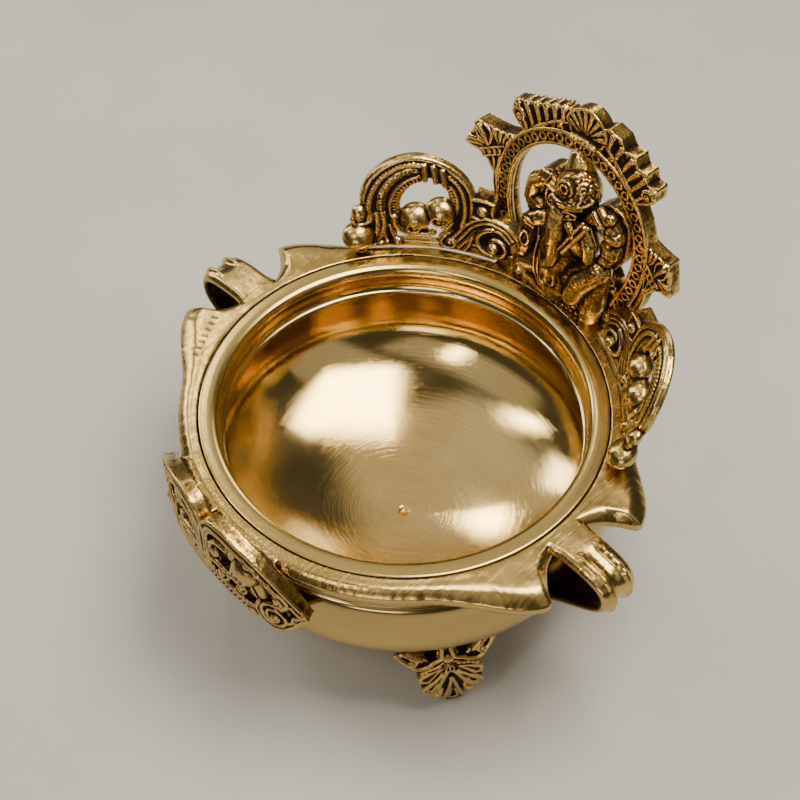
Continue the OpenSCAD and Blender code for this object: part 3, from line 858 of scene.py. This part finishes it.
def back_scroll():
    """The left openwork wall, from its outer ball on the left to the block that joins it to the ring."""
    c = Casting()

    def at(*points):
        return smooth(np.array(points) + (SCROLL_SHIFT, 0))

    def spot(x, z):
        return (x + SCROLL_SHIFT, z)

    back = 0.052
    arch = at((-0.985, 0.0), (-0.985, 0.12), (-0.985, 0.3), (-0.95, 0.44), (-0.865, 0.545), (-0.765, 0.58),
              (-0.665, 0.55), (-0.58, 0.47), (-0.55, 0.36), (-0.555, 0.24), (-0.6, 0.12))
    c.strip(arch, 0.066, 0.011, back)
    c.strip(at((-1.02, 0.0), (-0.8, 0.0), (-0.55, 0.0), (-0.36, 0.0)), 0.022, 0.012, back)
    c.strip(at((-0.9, 0.1), (-0.905, 0.3), (-0.875, 0.41), (-0.81, 0.485), (-0.74, 0.51)), 0.042, 0.018, back)
    c.strip(at((-1.06, 0.03), (-0.97, 0.04), (-0.88, 0.03)), 0.05, 0.018, back)
    c.strip(at((-0.9, 0.2), (-0.875, 0.135), (-0.8, 0.092), (-0.72, 0.1)), 0.032, 0.012, back)
    c.strip(at((-0.6, 0.02), (-0.545, 0.1), (-0.49, 0.19), (-0.41, 0.24), (-0.32, 0.225), (-0.25, 0.17)),
            0.046, 0.016, 0.085)
    c.strip(at((-0.64, 0.015), (-0.45, 0.015), (-0.26, 0.015)), 0.03, 0.018, 0.085)
    # plain rounded outer edge
    outer = at((-1.045, 0.29), (-1.05, 0.38), (-1.01, 0.5), (-0.93, 0.585), (-0.84, 0.628), (-0.75, 0.632),
               (-0.66, 0.6), (-0.575, 0.53), (-0.515, 0.45), (-0.497, 0.36), (-0.5, 0.24))
    c.rod(outer, 0.021, 0.024)
    c.rod(outer, 0.019, 0.04)
    # twisted band inside it
    rope = at((-1.025, 0.2), (-1.03, 0.3), (-1.015, 0.4), (-0.97, 0.5), (-0.9, 0.568), (-0.83, 0.6),
              (-0.765, 0.603))
    c.rod(rope, 0.0165, 0.008)
    c.ticks(rope, 0.01, 0.0075, 0.021, -0.002, 0.007)
    rope = at((-0.62, 0.535), (-0.565, 0.47), (-0.535, 0.38), (-0.53, 0.27), (-0.545, 0.18))
    c.rod(rope, 0.012, 0.01)
    c.ticks(rope, 0.008, 0.0065, 0.021, 0.003, 0.005)
    # beaded bands
    band = at((-0.955, 0.21), (-0.965, 0.3), (-0.955, 0.4), (-0.905, 0.49), (-0.83, 0.545), (-0.76, 0.558))
    c.rod(beside(band, 0.016), 0.0085, 0.008)
    c.beads(band, 0.0125, 0.0235, 0.006)
    c.rod(beside(band, -0.017), 0.0075, 0.01)
    band = at((-0.895, 0.2), (-0.905, 0.3), (-0.885, 0.39), (-0.835, 0.46), (-0.765, 0.507))
    c.rod(beside(band, 0.014), 0.009, 0.006)
    c.ticks(beside(band, -0.008), 0.014, 0.0082, 0.022, 0.008)
    band = at((-0.655, 0.485), (-0.605, 0.43), (-0.583, 0.36), (-0.585, 0.28), (-0.61, 0.19), (-0.635, 0.13))
    c.rod(beside(band, 0.014), 0.008, 0.008)
    c.ticks(band, 0.012, 0.0082, 0.022, 0.009)
    # straps across the bands at the upper right
    for ends in (((-0.745, 0.6), (-0.738, 0.5)), ((-0.7, 0.595), (-0.683, 0.488)),
                 ((-0.652, 0.57), (-0.635, 0.468))):
        c.rod(at(*ends), 0.0175, 0.002)
    # ball volutes in the opening
    for x, z, r in ((-0.785, 0.212, 0.084), (-0.655, 0.272, 0.079)):
        c.ball(spot(x, z), r, 0.014, 0.8, 22)
        c.whorl(spot(x - 0.002, z - 0.042), 0.044, 0.0115, 1.6, 80, -0.036)
        c.rod(arc(spot(x, z), r * 0.86, r * 0.86, 200, 340, 16), 0.012, -0.01)
    # twisted bar under them
    bar = at((-0.895, 0.22), (-0.888, 0.17), (-0.86, 0.125), (-0.8, 0.09), (-0.73, 0.088), (-0.69, 0.108))
    c.rod(bar, 0.02, 0.004)
    c.ticks(bar, 0.013, 0.0085, 0.024, -0.005, 0.007)
    # lower left: stems that curl into the large ball
    for shift in (0.0, 0.034):
        stem = at((-0.985 + shift, 0.25), (-0.98 + shift, 0.16), (-0.985 + shift * 0.8, 0.085),
                  (-1.02 + shift * 0.4, 0.03 - shift * 0.4), (-1.07, 0.014 - shift * 0.3))
        c.rod(stem, 0.013, 0.006)
        c.ticks(stem, 0.009, 0.0065, 0.02, -0.001)
    c.ball(spot(-1.085, 0.1), 0.084, 0.0, 0.85, 24)
    c.whorl(spot(-1.068, 0.052), 0.046, 0.0115, 1.4, 30, -0.045)
    c.ball(spot(-1.078, 0.262), 0.04, 0.01, 0.9, 16, 1.35)
    c.rod(at((-1.115, 0.235), (-1.1, 0.195), (-1.06, 0.178), (-1.02, 0.2), (-1.015, 0.24)), 0.0145, 0.002)
    c.rod(at((-0.915, 0.15), (-0.9, 0.09), (-0.885, 0.04)), 0.012, 0.006)
    c.rod(at((-0.95, 0.15), (-0.94, 0.08), (-0.93, 0.02)), 0.011, 0.01)
    c.ball(spot(-0.872, 0.03), 0.026, 0.0, 0.9, 14, 1.3)
    c.beads(at((-0.99, 0.02), (-0.93, 0.03)), 0.014, 0.026, 0.0)
    # small scroll, ribbed band and large volute beside the arch
    c.ball(spot(-0.608, 0.05), 0.062, 0.03, 0.45, 18)
    c.whorl(spot(-0.604, 0.05), 0.05, 0.0125, 1.4, 120, 0.0)
    band = at((-0.585, 0.03), (-0.54, 0.1), (-0.487, 0.19), (-0.41, 0.242), (-0.32, 0.226), (-0.26, 0.175))
    for shift in (-0.031, 0.0, 0.031):
        c.rod(beside(band, shift), 0.0115, 0.012)
    c.ball(spot(-0.36, 0.1), 0.118, 0.045, 0.32, 24)
    c.whorl(spot(-0.36, 0.1), 0.112, 0.018, 1.35, 100, 0.006, eye=False)
    c.ball(spot(-0.366, 0.088), 0.034, -0.004, 0.9, 16)
    c.rod(at((-0.53, 0.0), (-0.5, 0.05), (-0.49, 0.1), (-0.475, 0.14)), 0.012, 0.01)
    # block with a disc that joins the scroll to the ring
    block = np.array([(-0.5, 0.2), (-0.38, 0.2), (-0.372, 0.395), (-0.485, 0.4)])
    c.plate(block + (SCROLL_SHIFT, 0), 0.012, 0.11)
    c.ball(spot(-0.437, 0.325), 0.032, 0.006, 0.7, 16)
    c.rod(at((-0.485, 0.392), (-0.43, 0.398), (-0.378, 0.388)), 0.012, 0.012)
    c.rod(at((-0.49, 0.27), (-0.45, 0.262), (-0.42, 0.282), (-0.38, 0.272)), 0.0095, 0.008)
    return c


def seated_figure():
    """A seated elephant-headed figure on a rough seat. It leans out in front of the ring."""
    c = Casting()

    def ridge(points, r):
        """A round ridge through points in (sideways, up, depth)."""
        line = smooth([p[:2] for p in points])
        steps = np.linspace(0, len(points) - 1, len(line))
        c.rod(line, r, np.interp(steps, range(len(points)), [p[2] for p in points]))

    # seat, with the web that joins it to the ring on the right
    c.plate([(-0.25, 0.0), (0.32, 0.0), (0.37, 0.13), (0.335, 0.27), (0.28, 0.34), (0.2, 0.24),
             (-0.18, 0.16), (-0.27, 0.12)], 0.0, SLAB)
    c.plate([(-0.225, 0.0), (0.27, 0.0), (0.27, 0.07), (0.0, 0.1), (-0.21, 0.085)], -0.075, 0.02)
    rng = np.random.default_rng(7)
    for _ in range(120):
        c.ball((rng.uniform(-0.215, 0.2), rng.uniform(0.0, 0.08)), rng.uniform(0.008, 0.017), -0.076, 0.7, 8)
    for _ in range(60):
        c.ball((rng.uniform(0.27, 0.35), rng.uniform(0.02, 0.26)), rng.uniform(0.01, 0.019), 0.0, 0.7, 8)
    c.limb((-0.225, 0.03, -0.04), (-0.2, 0.05, -0.07), 0.04)
    # body
    c.limbs([(0.02, 0.12, 0.0), (0.04, 0.32, -0.01), (0.08, 0.5, -0.01)], [0.15, 0.15, 0.125])
    c.ball((0.15, 0.47), 0.092, -0.06, 0.85, 22)
    c.ball((0.03, 0.24), 0.12, -0.05, 0.75, 22)
    # head and beaded cap with its disc
    head, disc = np.array([0.055, 0.715, -0.035]), (0.043, 0.772)
    c.ball(head[:2], 0.118, head[2], 0.98, 28)
    c.limb((0.02, 0.78, 0.0), (-0.012, 0.85, 0.015), 0.085, 0.05)
    c.ball((0.035, 0.62), 0.088, -0.07, 0.95, 24)
    for _ in range(190):
        way = np.array([rng.uniform(-0.1, 1.0), rng.uniform(-0.05, 1.0), rng.uniform(-1.0, 0.1)])
        way /= np.linalg.norm(way)
        p = head + way * 0.114
        if np.linalg.norm(p - (*disc, -0.13)) > 0.06:
            c.ball(p[:2], rng.uniform(0.006, 0.012), p[2], 1.0, 8)
    c.ball(disc, 0.04, -0.118, 0.6, 16)
    c.ring(disc, 0.043, 0.0085, -0.138)
    c.ring(disc, 0.022, 0.006, -0.146)
    ridge([(-0.03, 0.675, -0.12), (0.036, 0.689, -0.148), (0.103, 0.7, -0.148), (0.15, 0.715, -0.125),
           (0.172, 0.74, -0.08)], 0.0155)
    ridge([(-0.03, 0.657, -0.125), (0.036, 0.667, -0.152), (0.1, 0.676, -0.15), (0.15, 0.69, -0.12)], 0.0065)
    # eye, cheek, ear
    c.ball((0.084, 0.628), 0.0155, -0.136, 0.8, 12)
    ridge([(0.035, 0.612, -0.15), (0.075, 0.65, -0.146), (0.127, 0.64, -0.125)], 0.0072)
    ridge([(0.04, 0.6, -0.15), (0.085, 0.608, -0.145), (0.125, 0.622, -0.125)], 0.006)
    c.limb((0.09, 0.575, -0.125), (0.14, 0.535, -0.15), 0.026, 0.014)
    c.ball((-0.062, 0.61), 0.062, -0.035, 0.55, 18, 1.25)
    c.ring((-0.064, 0.61), 0.048, 0.008, -0.07, 1.25)
    c.whorl((-0.066, 0.6), 0.026, 0.0072, 1.1, 90, -0.072)
    c.ball((0.155, 0.635), 0.05, -0.03, 0.6, 16, 1.2)
    # trunk, hanging over the belly and curling to the left
    trunk = [(0.03, 0.61, -0.105), (0.029, 0.53, -0.135), (0.045, 0.46, -0.148), (0.05, 0.385, -0.15),
             (0.04, 0.31, -0.142), (0.0, 0.262, -0.135), (-0.035, 0.275, -0.128), (-0.04, 0.305, -0.125)]
    c.limbs(trunk, [0.064, 0.054, 0.046, 0.04, 0.033, 0.026, 0.021, 0.018])
    t = np.linspace(-1, 1, 9)
    for k in range(8):
        z = 0.55 - 0.03 * k
        wide = 0.05 - 0.0028 * k
        middle = np.interp(-z, [-p[1] for p in trunk[:5]], [p[0] for p in trunk[:5]])
        c.rod(np.stack([middle + wide * t, z - 0.007 * (1 - t * t)], 1), 0.0048,
              -0.142 - wide * 0.8 * np.sqrt(np.clip(1 - t * t, 0, 1)))
    # left arm with its raised hand; the arm is as thick as the ring
    c.strip(smooth([(-0.03, 0.64), (-0.12, 0.69), (-0.19, 0.63), (-0.21, 0.54), (-0.17, 0.46), (-0.17, 0.36),
                    (-0.16, 0.2)]), 0.034, -0.02, SLAB)
    c.limbs([(-0.04, 0.64, -0.03), (-0.12, 0.69, -0.05), (-0.2, 0.62, -0.04), (-0.212, 0.54, -0.04),
             (-0.18, 0.475, -0.045), (-0.09, 0.42, -0.03)], [0.04, 0.044, 0.047, 0.044, 0.034, 0.06])
    c.ball((-0.13, 0.7), 0.04, -0.065, 0.8, 16)
    for k in range(3):
        c.limb((-0.15 + 0.022 * k, 0.705, -0.095), (-0.142 + 0.024 * k, 0.74, -0.08), 0.0115)
    for z in (0.515, 0.49, 0.465):
        c.limb((-0.214 + (0.515 - z) * 0.6, z, -0.042), (-0.15, z - 0.01, -0.042), 0.041)
    c.limbs([(-0.11, 0.45, -0.06), (-0.172, 0.4, -0.075), (-0.165, 0.31, -0.09), (-0.163, 0.22, -0.095)],
            [0.05, 0.046, 0.05, 0.043])
    for z in (0.425, 0.4):
        ridge([(-0.215, z - 0.012, -0.09), (-0.17, z + 0.008, -0.122), (-0.125, z - 0.008, -0.11)], 0.008)
    c.ring((-0.15, 0.325), 0.027, 0.0085, -0.138, 1.5)
    c.ball((-0.163, 0.215), 0.044, -0.105, 0.8, 16)
    c.ball((-0.165, 0.13), 0.062, -0.06, 0.8, 16)
    # folds of cloth over the left leg
    c.limbs([(-0.02, 0.2, -0.06), (-0.14, 0.16, -0.08), (-0.12, 0.1, -0.09), (0.02, 0.07, -0.09)],
            [0.08, 0.07, 0.05, 0.045])
    for k in range(5):
        x = 0.026 * k
        ridge([(-0.085 + x, 0.365 - x * 0.3, -0.105), (-0.075 + x, 0.26, -0.135), (-0.055 + x, 0.16, -0.14),
               (-0.01 + x, 0.09, -0.12)], 0.0075)
    c.ring((0.052, 0.19), 0.026, 0.0075, -0.145, 1.35)
    # right arms
    c.strip(smooth([(0.17, 0.62), (0.25, 0.69), (0.325, 0.66), (0.345, 0.57), (0.345, 0.47), (0.3, 0.39),
                    (0.25, 0.3)]), 0.036, -0.02, SLAB)
    c.limbs([(0.12, 0.58, -0.03), (0.19, 0.65, -0.05), (0.26, 0.67, -0.055), (0.308, 0.62, -0.045),
             (0.312, 0.55, -0.05), (0.315, 0.48, -0.055), (0.29, 0.42, -0.07)],
            [0.05, 0.047, 0.044, 0.047, 0.045, 0.042, 0.042])
    c.limb((0.205, 0.69, -0.09), (0.262, 0.655, -0.1), 0.022, 0.019)
    c.limb((0.225, 0.715, -0.07), (0.28, 0.685, -0.085), 0.022, 0.019)
    c.ball((0.29, 0.7), 0.03, -0.07, 0.9, 16)
    for z in (0.6, 0.525, 0.5):
        c.limb((0.3, z, -0.05), (0.325, z, -0.052), 0.0485)
    c.limbs([(0.17, 0.57, -0.1), (0.225, 0.51, -0.115), (0.24, 0.44, -0.12)], [0.036, 0.037, 0.03])
    c.limb((0.212, 0.63, -0.135), (0.112, 0.425, -0.165), 0.012)
    c.limb((0.18, 0.64, -0.135), (0.086, 0.43, -0.165), 0.009)
    # right leg: thigh, knee, and the broad smooth shin that slants down to the seat
    c.limbs([(0.09, 0.22, -0.05), (0.29, 0.37, -0.08), (0.225, 0.28, -0.115), (0.17, 0.13, -0.1)],
            [0.085, 0.066, 0.062, 0.052])
    c.limbs([(0.285, 0.36, -0.07), (0.27, 0.13, -0.055), (0.255, 0.02, -0.045)], [0.064, 0.068, 0.055])
    c.ball((0.29, 0.395), 0.045, -0.1, 0.9, 18)
    return c


APRON_BEARING = -97
APRON_RADIUS = 1.115 + 6 / SEAM_MM


def front_scroll(sink):
    """Right half of the apron; sideways is measured from its middle. sink sets the ball further back."""
    c = Casting()
    back = 0.066
    arch = smooth([(0.02, -0.24), (0.006, -0.12), (0.02, 0.01), (0.075, 0.085), (0.16, 0.1), (0.25, 0.075),
                   (0.34, 0.035), (0.42, -0.02), (0.5, -0.09), (0.565, -0.16), (0.63, -0.225)])
    wide = np.interp(np.linspace(0, 1, len(arch)), [0, 0.25, 0.6, 0.88, 1],
                     [0.022, 0.034, 0.036, 0.032, 0.006])
    front, rear = 0 * wide + 0.002, 0 * wide + back + 0.006
    corners = (-wide, front), (wide, front), (wide, rear), (-wide, rear)
    c.sweep(arch, np.stack([np.c_[corner] for corner in corners], 1))
    c.rod(beside(arch, 0.024)[3:-6], 0.011, 0.004)
    c.rod(beside(arch, -0.012)[:-10], 0.0085, -0.001)
    c.rod(beside(arch, -0.032)[:-16], 0.0095, 0.001)
    c.strip(beside(arch, -0.062)[:-20], 0.034, 0.022, back)
    c.ticks(beside(arch, -0.06)[8:-24], 0.017, 0.0066, 0.023, 0.018, 0.006)
    # cleat on the collar's edge
    c.strip(np.array([(0.02, 0.012), (0.2, 0.02), (0.42, -0.004)]), 0.02, 0.03, 0.12)
    # curl at the inner end
    c.vein([(0.18, 0.0), (0.12, 0.0), (0.075, -0.04), (0.062, -0.09), (0.08, -0.125), (0.105, -0.11),
                  (0.1, -0.08)], 0.0165, 0.008)
    c.ball((0.095, -0.092), 0.022, 0.004, 0.8)
    c.vein([(0.012, -0.19), (0.06, -0.19), (0.12, -0.185), (0.2, -0.2)], 0.017, 0.012)
    # ball with a spiral
    c.ball((0.285, -0.085), 0.08, 0.022 + sink, 0.72, 26)
    c.whorl((0.28, -0.1), 0.056, 0.0105, 1.9, 60, -0.017 + sink, rise=0.018)
    c.limb((0.25, -0.08, 0.05), (0.22, 0.02, 0.05), 0.032)
    c.limb((0.32, -0.13, 0.05), (0.38, -0.24, 0.05), 0.034)
    # scallops under the arch
    for x, z in ((0.315, 0.006), (0.375, -0.015), (0.43, -0.05)):
        c.ball((x, z), 0.027, 0.01, 0.8, 14, 1.25)
        c.whorl((x, z - 0.004), 0.016, 0.0055, 1.0, 0, -0.01)
    # lower volute, and the rim that runs out to the pointed tip
    c.ball((0.452, -0.3), 0.085, 0.042, 0.35, 20)
    c.whorl((0.452, -0.3), 0.088, 0.0125, 2.3, 60, 0.012, rise=0.014)
    c.vein([(0.625, -0.225), (0.58, -0.285), (0.53, -0.355), (0.455, -0.395), (0.385, -0.37), (0.352, -0.31),
                  (0.36, -0.25)], 0.0145, 0.012)
    c.plate([(0.36, -0.24), (0.45, -0.2), (0.62, -0.21), (0.575, -0.285), (0.52, -0.355), (0.45, -0.39),
             (0.375, -0.36)], 0.038, back)
    c.vein([(0.61, -0.225), (0.555, -0.25), (0.54, -0.3), (0.5, -0.34)], 0.0105, 0.012)
    # small curl between the volute and the arch
    c.whorl((0.47, -0.165), 0.034, 0.0115, 1.1, 250, 0.004)
    c.vein([(0.5, -0.2), (0.53, -0.155), (0.515, -0.105), (0.485, -0.08)], 0.0155, 0.006)
    c.beads([(0.55, -0.15), (0.6, -0.205)], 0.0115, 0.02, 0.0)
    # ribbed lower band, a second volute near the middle and the leaf at the end
    low = smooth([(0.0, -0.325), (0.08, -0.33), (0.18, -0.34), (0.27, -0.36), (0.33, -0.355)])
    c.strip(low, 0.036, 0.02, back)
    c.ticks(low, 0.026, 0.0105, 0.028, 0.014, 0.012)
    c.rod(beside(low, 0.036), 0.0105, 0.012)
    c.plate([(0.0, -0.2), (0.28, -0.2), (0.34, -0.3), (0.3, -0.35), (0.0, -0.33)], 0.034, back)
    c.whorl((0.13, -0.245), 0.05, 0.011, -1.6, 120, 0.014, rise=0.01)
    c.vein([(0.0, -0.275), (0.05, -0.28), (0.1, -0.302), (0.18, -0.3), (0.26, -0.31)], 0.011, 0.014)
    c.whorl((0.255, -0.25), 0.037, 0.0095, 1.4, 200, 0.016)
    c.vein([(0.0, -0.22), (0.03, -0.215), (0.06, -0.2), (0.12, -0.186)], 0.0085, 0.014)
    c.beads(smooth([(0.015, -0.25), (0.06, -0.256)]), 0.0115, 0.022, 0.012)
    c.ball((0.33, -0.365), 0.03, 0.016, 0.7, 16, 1.1)
    return c


def foot_front(z):
    """Distance of a foot's front face from the bowl's axis, at a height."""
    line = bezier((0.985, -0.63), (1.1, -0.78), (1.06, -0.98), (1.0, -DROP), 40)
    return np.interp(-z, -line[:, 1], line[:, 0])


def foot_bracket():
    """Palmette bracket: a long looped lobe between shorter ones, under a rough top with two arms."""
    c = Casting()
    half = np.array([(0.05, -DROP), (0.075, -1.06), (0.11, -0.99), (0.155, -0.93), (0.165, -0.84),
                     (0.14, -0.76), (0.19, -0.7), (0.25, -0.6), (0.19, -0.58), (0.13, -0.64), (0.09, -0.7),
                     (0.04, -0.69), (0.03, -0.6)])
    c.plate(np.roll(np.vstack([half, half[::-1] * (-1, 1)]), 1, 0), 0.03, 0.1)

    def lobe(root, tip, radius, rise=0.0):
        """A long drop: a raised rim, a groove, a smaller rim and a groove again."""
        root, tip = np.array(root, float), np.array(tip, float)
        way = (tip - root) / np.linalg.norm(tip - root)
        side = np.array([-way[1], way[0]])
        for share, r in ((1.0, 0.0115), (0.5, 0.0085)):
            t = np.radians(np.linspace(-110, 110, 24))
            wide = radius * share
            start = root + (tip - root) * (0.12 + 0.4 * (1 - share))
            loop = tip + wide * (np.cos(t)[:, None] * way + np.sin(t)[:, None] * side)
            line = np.vstack([[start - side * 0.004], loop, [start + side * 0.004]])
            c.rod(smooth(line, 0.01), r, 0.014 + rise)

    lobe((0.0, -0.82), (0.0, -1.1), 0.047)
    for side in (-1, 1):
        lobe((side * 0.03, -0.79), (side * 0.112, -0.925), 0.036)
        lobe((side * 0.04, -0.755), (side * 0.13, -0.82), 0.024, 0.004)
        c.ball((side * 0.083, -1.0), 0.025, 0.014, 0.85, 14)
        c.whorl((side * 0.178, -0.665), 0.03, 0.0095, side * 1.2, 90, 0.014)

        def at(*points):
            return smooth(np.array(points) * (side, 1))

        c.rod(at((0.015, -0.8), (0.05, -0.88), (0.07, -0.96)), 0.0085, 0.016)
        c.rod(at((0.09, -0.715), (0.15, -0.72), (0.2, -0.66), (0.245, -0.59)), 0.0125, 0.016)
        c.rod(at((0.13, -0.66), (0.165, -0.62), (0.2, -0.57)), 0.011, 0.018)
        c.rod(at((0.02, -0.6), (0.035, -0.68), (0.085, -0.705)), 0.0115, 0.018)
        c.beads(at((0.058, -0.95), (0.066, -1.02)), 0.013, 0.03, 0.014)
        c.beads(at((0.05, -0.735), (0.1, -0.75), (0.14, -0.77)), 0.0115, 0.022, 0.016)
        c.beads(at((0.17, -0.63), (0.215, -0.59)), 0.011, 0.022, 0.014)
    for angle in np.linspace(-60, 60, 9):
        way = np.array([math.sin(math.radians(angle)), -math.cos(math.radians(angle))])
        c.vein([way * 0.03 + (0, -0.7), way * 0.095 + (0, -0.71)], 0.0065, 0.02)
    c.ball((0, -0.69), 0.034, 0.024, 0.6, 16)
    rng = np.random.default_rng(3)
    for _ in range(34):
        lump = (rng.uniform(-0.055, 0.055), rng.uniform(-0.7, -0.58))
        c.ball(lump, rng.uniform(0.007, 0.012), 0.03, 0.8, 8)
    return c


SQUEEZE_FROM = -0.78
SQUEEZE = 0.72


def on_foot(bearing, skew):
    """Bends onto a foot; its top is squeezed in under the belly and never goes through the bowl's wall."""
    def bend(p):
        above = np.maximum(p[:, 1] - SQUEEZE_FROM, 0)
        z = np.maximum(p[:, 1] - above * (1 - SQUEEZE), -DROP)
        belly = BELLY * np.sqrt(np.clip(1 - ((z - BELLY_Z) / BELLY_HALF) ** 2, 0, 1))
        r = np.maximum(foot_front(z) - p[:, 2], belly - 0.015)
        p = p + np.c_[-skew * (z + DROP), 0 * z, 0 * z]
        angle = math.radians(bearing)
        x = r * math.cos(angle) - p[:, 0] * math.sin(angle)
        y = r * math.sin(angle) + p[:, 0] * math.cos(angle)
        return np.stack([x, y, z], 1)
    return bend


# ---- the object ----
polished = turned_brass()
filed = filed_brass()
gilt = antique_brass("gilt casting", (0.035, 0.016, 0.004), (0.25, 0.135, 0.028), (0.74, 0.5, 0.15), 0.2)
deep = antique_brass("deep casting", (0.028, 0.013, 0.004), (0.17, 0.09, 0.022), (0.66, 0.44, 0.13), 0.17)
brown = antique_brass("brown casting", (0.026, 0.013, 0.005), (0.16, 0.09, 0.026), (0.6, 0.42, 0.14), 0.22)
olive = antique_brass("olive casting", (0.03, 0.016, 0.006), (0.18, 0.11, 0.03), (0.52, 0.35, 0.11), 0.24)
dull = antique_brass("dull casting", (0.035, 0.018, 0.007), (0.22, 0.125, 0.04), (0.6, 0.4, 0.13), 0.34)

make_bowl(polished)
make_collar(filed)
make_handle(-1, filed)
make_handle(1, filed)

FINE = 0.00034
FINIAL = 0.00036
place(arch_ring(), "arch_ring", on_arch, gilt, 1, name="ring_casting")
place(seated_figure(), "seated_figure", on_arch, deep, 2, FINE, "figure_casting")
place(finial().mirrored(), "finial_left", on_arch, gilt, 4, FINIAL)
place(shortened(finial()), "finial_right", on_arch, gilt, 3, FINIAL)
place(crest(), "crest", on_arch, gilt, 5, FINE)
wall = back_scroll()
place(wall, "back_scroll_left", on_wall(SCROLL_BEARING), brown, 6)
place(wall.mirrored(), "back_scroll_right", on_wall(180 - SCROLL_BEARING - WALL_TURN), brown, 7)
bend = on_apron(APRON_BEARING, APRON_RADIUS)
place(front_scroll(0.0), "front_scroll_right", bend, olive, 8)
place(front_scroll(0.04).mirrored(), "front_scroll_left", bend, olive, 9)
bracket = foot_bracket()
for side, bearing, skew in (("front_left", -150, 0), ("front_right", -30, 0.1), ("back", 90, 0)):
    place(bracket, "foot_" + side, on_foot(bearing, skew), dull, 10 + bearing / 10)


# ---- floor, lights and camera ----
def make_floor():
    radius = 1.6
    t = np.linspace(0, 2 * math.pi, 96, endpoint=False)
    disc = [(radius * math.cos(a), radius * math.sin(a), 0) for a in t]
    floor = make_mesh("floor", disc, [tuple(range(len(disc)))], pale_floor(), shade=False)


def make_light(name, at, target, size, power, colour):
    light = bpy.data.lights.new(name, "AREA")
    light.shape = "RECTANGLE"
    light.size, light.size_y = size
    light.energy = power
    light.color = colour
    ob = bpy.data.objects.new(name, light)
    ob.location = at
    ob.rotation_euler = (Vector(target) - Vector(at)).to_track_quat("-Z", "Y").to_euler()
    bpy.context.scene.collection.objects.link(ob)


def make_camera(at, aim, roll, lens):
    """A camera in units about the bowl's axis, turned by roll degrees about its line of sight."""
    data = bpy.data.cameras.new("camera")
    data.sensor_width = 36
    data.lens = lens
    data.clip_start = 0.01
    ob = bpy.data.objects.new("camera", data)
    level = (Vector(aim) - Vector(at)).to_track_quat("-Z", "Y").to_matrix().to_4x4()
    ob.matrix_world = Matrix.Translation(world(at)) @ level @ Matrix.Rotation(math.radians(roll), 4, "Z")
    bpy.context.scene.collection.objects.link(ob)
    bpy.context.scene.camera = ob


make_floor()
WARM, CREAM = (1.0, 0.92, 0.79), (1.0, 0.95, 0.87)
make_light("soft box", (0.2, 0.2, 1.1), (0.1, 0.1, 0), (0.6, 0.5), 14, WARM)
make_light("tube south", (0.14, -0.76, 1.0), (0, 0.05, 0.05), (0.05, 0.42), 2.0, WARM)
make_light("tube west", (-0.66, -0.34, 1.06), (0, 0.05, 0.05), (0.05, 0.34), 1.6, WARM)
make_light("lamp west", (-0.79, 0.37, 0.98), (0, 0, 0.05), (0.12, 0.14), 1.2, WARM)
make_light("ceiling west", (-0.95, 0.4, 1.5), (-0.1, 0, 0), (1.3, 2.0), 4.6, CREAM)
make_light("ceiling south", (0.0, -0.9, 1.35), (0, -0.2, 0), (2.0, 0.8), 2.0, CREAM)
make_light("ceiling east", (1.25, 0.1, 1.3), (0.1, 0, 0), (0.9, 1.8), 1.8, CREAM)
make_light("left window", (-1.1, -0.1, 0.55), (0, 0, 0.06), (0.22, 0.8), 4, CREAM)
make_light("back window", (-0.55, 1.1, 0.75), (0, 0, 0.06), (0.2, 0.7), 2.2, CREAM)
make_light("front card", (0.75, -1.1, 0.45), (0, 0, 0.05), (0.5, 0.3), 2.2, CREAM)
room = bpy.data.worlds.new("room")
bpy.context.scene.world = room
room.use_nodes = True
room.node_tree.nodes["Background"].inputs["Color"].default_value = (0.62, 0.59, 0.54, 1)
room.node_tree.nodes["Background"].inputs["Strength"].default_value = 0.11
make_camera(at=(3.76, -3.747, 6.594), aim=(-0.0355, 0.0069, 0), roll=0.12, lens=78.45)
